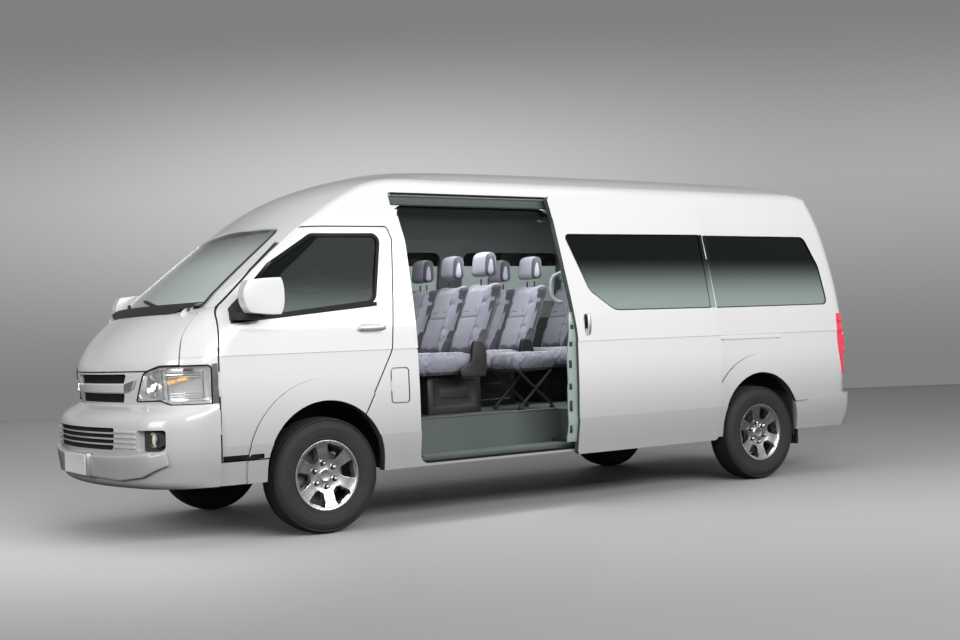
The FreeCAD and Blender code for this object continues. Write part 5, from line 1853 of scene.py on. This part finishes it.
front_edge = [along(TAIL_EDGE, k / TAIL_ROWS) for k in range(TAIL_ROWS + 1)]
rear_edge = [Vector((TAIL_REAR_X, p.y)) for p in front_edge]
for side, word in ((1, "left"), (-1, "right")):
    lens = band(f"tail_lens_{word}", front_edge, rear_edge,
                side_place(["tail_lamps", f"side_panel_{word}"], side=side, lift=0.005), False, 14, 0.010)
    edit(lens)
    pick_faces(lens, lambda f: f.normal.y * side > 0.3 and 0.88 < f.calc_center_median().z < 1.04
               and f.calc_center_median().x < -2.668)
    bpy.ops.mesh.extrude_region_move(TRANSFORM_OT_translate={"value": (-0.007, 0.007 * side, 0)})
    done()
    round_edges(lens, 0.0015, 2, 50)
    fit(lens, "body", "red_lamp", red_lens, 30)
    split_spots = [side_place([f"side_panel_{word}", "tail_lamps"], side=side, lift=0.009)(p)
                   for p in straight((-2.622, 1.120), (-2.735, 1.120), 12)]
    fit(hose(f"tail_split_{word}", [s for s in split_spots if s], 0.003), "body", "dark_plastic", seal_rubber)
print("tail lamps made")

# %% Backing the grille and the bumper's mouth
NOSE_BOW = 0.236


def dark_grid(name, x, half_width, low, high, step):
    """A black plate with raised upright bars, as air passes between them."""
    plate_back = block(name, (x - 0.006, -half_width, low), (x, half_width, high))
    bars = []
    count = int(2 * half_width / step)
    for k in range(count + 1):
        y = -half_width + k * step
        bars.append(block("bar", (x - 0.004, y - 0.0015, low), (x + 0.016, y + 0.0015, high)))
    for k in range(int((high - low) / (step * 0.8)) + 1):
        z = low + k * step * 0.8
        bars.append(block("bar", (x - 0.004, -half_width, z - 0.0015), (x + 0.012, half_width, z + 0.0015)))
    return join(name, [plate_back] + bars)


for piece in (dark_grid("grille_back", 2.722, 0.44, 0.80, 0.978, 0.03),
              dark_grid("mouth_back", 2.852, 0.50, 0.545, 0.680, 0.036)):
    for vertex in piece.data.vertices:
        vertex.co.x -= NOSE_BOW * vertex.co.y ** 2
    fit(piece, "body", "dark_plastic", moulded_black, 0)
end_low = straight((0.408, 0.868), (0.492, 0.888), 5)
end_high = straight((0.418, 0.912), (0.531, 0.934), 5)
end_lens = band("bar_end_left", end_low, end_high, front_place(["front_grille", "grille_bar"], lift=0.010),
                False, 2, 0.014)
fit_pair(end_lens, "clear_lamp", satin_silver)
print("grille backed")

# %% Making the fog lamps and the blank plate
FOG_SPOT = Vector((2.700, 0.782, 0.608))
fog_points = [(FOG_SPOT.x + d, FOG_SPOT.y, FOG_SPOT.z + r) for d, r in (
    (-0.03, 0.004), (-0.026, 0.018), (-0.012, 0.032), (0.0, 0.038), (0.004, 0.041), (-0.004, 0.044))]
fog = turned("fog_reflector_left", fog_points, FOG_SPOT, 40, (1, 0, 0))
modify(fog, "SOLIDIFY", thickness=0.0015, offset=0)
fog_glass = drum("fog_glass_left", FOG_SPOT + Vector((0.001, 0, 0)), 0.037, 0.005, "X", 40)
edit(fog_glass)
pick_faces(fog_glass, lambda f: f.normal.x > 0.9)
bpy.ops.mesh.inset(thickness=0.012, depth=0.004)
bpy.ops.mesh.inset(thickness=0.012, depth=0.002)
done()
fog_lens = new_finish("fog_lens", (1.0, 0.90, 0.66), 0.12, coat=1.0)
for piece, finish in ((fog, bright_chrome), (fog_glass, fog_lens)):
    fit_pair(piece, "clear_lamp", finish)

PLATE_HALF = 0.19
PLATE_X = 2.900
PLATE_Y = 0.03
number_plate = block("number_plate", (PLATE_X, PLATE_Y - PLATE_HALF, 0.400),
                     (PLATE_X + 0.006, PLATE_Y + PLATE_HALF, 0.520))
round_edges(number_plate, 0.0025, 2)
edit(number_plate)
pick_faces(number_plate, lambda f: f.normal.x > 0.99)
bpy.ops.mesh.inset(thickness=0.007, depth=-0.0012)
done()
plate_white = new_finish("plate_white", (0.82, 0.82, 0.81), 0.35)
mottle(plate_white, (0.80, 0.80, 0.79), (0.85, 0.85, 0.84), 9)
fit(number_plate, "body", "body_paint", plate_white)
bracket = block("plate_bracket", (PLATE_X - 0.030, PLATE_Y - PLATE_HALF + 0.01, 0.394),
                (PLATE_X, PLATE_Y + PLATE_HALF + 0.022, 0.526))
round_edges(bracket, 0.004, 3)
fit(bracket, "body", "silver_trim", satin_silver)
print("fog lamps and plate made")

# %% [markdown]
# ## The bumper's lip and ribs, the dark lamp strip and the screen's foot
# The bumper carries a thicker lip along its lower edge and four short ribs beside each fog lamp.
# A dark strip closes the gap between the headlamp and the door. The screen stands on a black cowl with two
# wipers.

# %% Adding the bumper's lip
LIP_TOP = [(0.0, 0.520), (0.34, 0.517), (0.60, 0.522), (0.78, 0.536), (0.868, 0.560)]
LIP_FOOT = [(0.0, 0.392), (0.34, 0.388), (0.54, 0.380), (0.74, 0.405), (0.872, 0.470)]
LIP_STEPS = 26


def on_line(points, share):
    """The place on a line of points at a share of its width."""
    y = points[-1][0] * share
    for (y0, z0), (y1, z1) in zip(points, points[1:]):
        if y0 <= y <= y1:
            ease = (y - y0) / (y1 - y0)
            return Vector((y, z0 + (z1 - z0) * ease))
    return Vector(points[-1])


lip_high = [on_line(LIP_TOP, k / LIP_STEPS) for k in range(LIP_STEPS + 1)]
lip_low = [on_line(LIP_FOOT, k / LIP_STEPS) for k in range(LIP_STEPS + 1)]
lip = band("bumper_lip_left", lip_high, lip_low, front_place(["front_bumper"], lift=0.010), False, 6, 0.024)
round_edges(lip, 0.009, 3, 50)
fit_pair(lip, "body_paint", pearl_paint)
print("bumper's lip made")

# %% Adding the ribs beside the fog lamps
RIB_SWEEP = 0.28
RIB_INNER = 0.50
ribs = []
for z in (0.560, 0.588, 0.616, 0.644):
    rib = block("rib", (2.740, RIB_INNER, z), (2.829, 0.690, z + 0.013))
    for vertex in rib.data.vertices:
        vertex.co.x -= RIB_SWEEP * (vertex.co.y - RIB_INNER)
    ribs.append(rib)
ribs = join("fog_ribs_left", ribs)
round_edges(ribs, 0.003, 2)
fit_pair(ribs, "body_paint", pearl_paint)
print("ribs made")

# %% Closing the strip behind the lamp
strip_grey = new_finish("strip_grey", (0.13, 0.125, 0.12), 0.35, coat=0.4)
strip = band("lamp_strip_left", straight((2.410, 0.795), (2.410, 1.010), 10),
             straight((2.377, 0.795), (2.380, 1.014), 10),
             side_place(["front_fenders", "headlamps", "front_bumper"], lift=0.003), False, 2, 0.003)
on_door = side_place(["front_door_left"], lift=0.0)
on_fender = side_place(["front_fenders", "front_bumper", "headlamps"], lift=0.0)
seam = []
for z in [1.10 - 0.0215 * k for k in range(30)]:
    hits = [s.y for s in (on_door(Vector((2.355, z))), on_fender(Vector((2.392, z)))) if s]
    if hits:
        seam.append(Vector((2.3705, max(hits) - 0.0015, z)))
seam = hose("door_seam_left", seam, 0.0035)
for piece, finish in ((strip, strip_grey), (seam, seal_rubber)):
    fit_pair(piece, "dark_plastic", finish)
print("strip and seam laid")

# %% Fitting the cowl and the wipers
COWL_HALF = 0.685
COWL_DEEP = 0.075
COWL_HIGH = 1.358
WIPER_FOOT_Z = 1.325


def cowl_place(p):
    """A point of the cowl, by its place across the vehicle and its share of the way to the screen."""
    rear_of_bonnet = 2.518 - 0.222 * p.x ** 2
    foot = 1.292 + 0.040 * min(1, abs(p.x) / 0.6) ** 6
    rise = (COWL_HIGH - foot) * math.sin(min(1, p.y * 1.8) * math.pi / 2)
    return Vector((rear_of_bonnet - COWL_DEEP * p.y, p.x, foot + rise))


cowl = band("screen_cowl", straight((-COWL_HALF, 0), (COWL_HALF, 0), 60),
            straight((-COWL_HALF, 1), (COWL_HALF, 1), 60), cowl_place, False, 6, 0.005)
fit(cowl, "body", "dark_plastic", moulded_black)
on_screen = front_place(["windscreen"], lift=0.016)
for name, foot_y, tip_y, tip_z in (("left", 0.42, -0.12, 1.400), ("right", -0.10, -0.60, 1.390)):
    arm = [on_screen(p) for p in straight((foot_y, WIPER_FOOT_Z), (tip_y, tip_z), 8)]
    pieces = [hose("arm", [s for s in arm if s], 0.006, sides=2)]
    blade = [on_screen(p) for p in straight((tip_y + 0.30, tip_z - 0.044), (tip_y - 0.10, tip_z + 0.010), 8)]
    pieces.append(hose("blade", [s + Vector((-0.004, 0, -0.006)) for s in blade if s], 0.007, sides=2))
    pivot_spot = on_screen(Vector((foot_y, WIPER_FOOT_Z))) + Vector((-0.006, 0, 0))
    pieces.append(drum("pivot", pivot_spot, 0.014, 0.026, "X", 20))
    fit(join(f"wiper_{name}", pieces), "body", "dark_plastic", moulded_black, 50)
frit_line = rounded([(-0.682, 1.320, 0.05), (0.682, 1.320, 0.05), (0.60, 1.800, 0.06), (-0.60, 1.800, 0.06)])
frit = band("screen_frit", widened(frit_line, 0.004), widened(frit_line, -0.022),
            front_place(["windscreen"], lift=0.0008), True, 2, 0.001)
fit(frit, "body", "dark_plastic", gloss_black)
print("nose finished")

# %% [markdown]
# ## The tail
# A hidden side gets what such vehicles have: a rubber line round the rear glass, a handle bar above a plate,
# one wiper, a high stop lamp and a black flap behind each rear wheel. The photograph shows only the flaps.
# The plate stays blank.

# %% Hanging the mud flaps
FLAP_INNER = 0.70
FLAP_OUTER = 0.925
for word, low_y, high_y in (("left", FLAP_INNER, FLAP_OUTER), ("right", -FLAP_OUTER, -FLAP_INNER)):
    flap = block(f"mud_flap_{word}", (-2.132, low_y, 0.295), (-2.120, high_y, 0.62))
    round_edges(flap, 0.003, 2)
    fit(flap, "body", "dark_plastic", moulded_black)
print("flaps hung")

# %% Dressing the tailgate
TAIL_ROUND = 0.05
at_rear = front_place(["tailgate"], ["tailgate_glass"], way=-1, lift=0.002)
gate_line = rounded([(-0.66, 1.235, TAIL_ROUND), (0.66, 1.235, TAIL_ROUND), (0.62, 1.76, TAIL_ROUND),
                     (-0.62, 1.76, TAIL_ROUND)])
gate_rubber = band("gate_rubber", widened(gate_line, 0.010), widened(gate_line, -0.016), at_rear,
                   True, 2, 0.004)
fit(gate_rubber, "tailgate", "dark_plastic", seal_rubber)
handle_low = straight((-0.33, 0.945), (0.33, 0.945), 16)
gate_bar = band("gate_handle", handle_low, [p + Vector((0, 0.060)) for p in handle_low],
                front_place(["tailgate"], way=-1, lift=0.012), False, 3, 0.022)
round_edges(gate_bar, 0.006, 3, 50)
fit(gate_bar, "tailgate", "body_paint", pearl_paint)
plate_low = straight((-0.23, 0.785), (0.23, 0.785), 10)
rear_plate = band("rear_plate", plate_low, [p + Vector((0, 0.125)) for p in plate_low],
                  front_place(["tailgate"], way=-1, lift=0.006), False, 3, 0.006)
fit(rear_plate, "tailgate", "body_paint", plate_white)
stop_low = straight((-0.16, 1.835), (0.16, 1.835), 10)
stop_lamp = band("high_stop_lamp", stop_low, [p + Vector((0, 0.024)) for p in stop_low],
                 front_place(["tailgate"], way=-1, lift=0.005), False, 2, 0.010)
fit(stop_lamp, "tailgate", "red_lamp", red_lens)
on_gate = front_place(["tailgate_glass", "tailgate"], way=-1, lift=0.016)
arm = [on_gate(p) for p in straight((0.02, 1.225), (0.40, 1.400), 8)]
blade = [on_gate(p) for p in straight((0.18, 1.290), (0.58, 1.455), 8)]
wiper = join("gate_wiper", [hose("arm", [s for s in arm if s], 0.006, sides=2),
                            hose("blade", [s for s in blade if s], 0.008, sides=2),
                            drum("pivot", on_gate(Vector((0.02, 1.225))), 0.018, 0.034, "X", 24)])
fit(wiper, "tailgate", "dark_plastic", moulded_black, 50)
print("tailgate dressed")
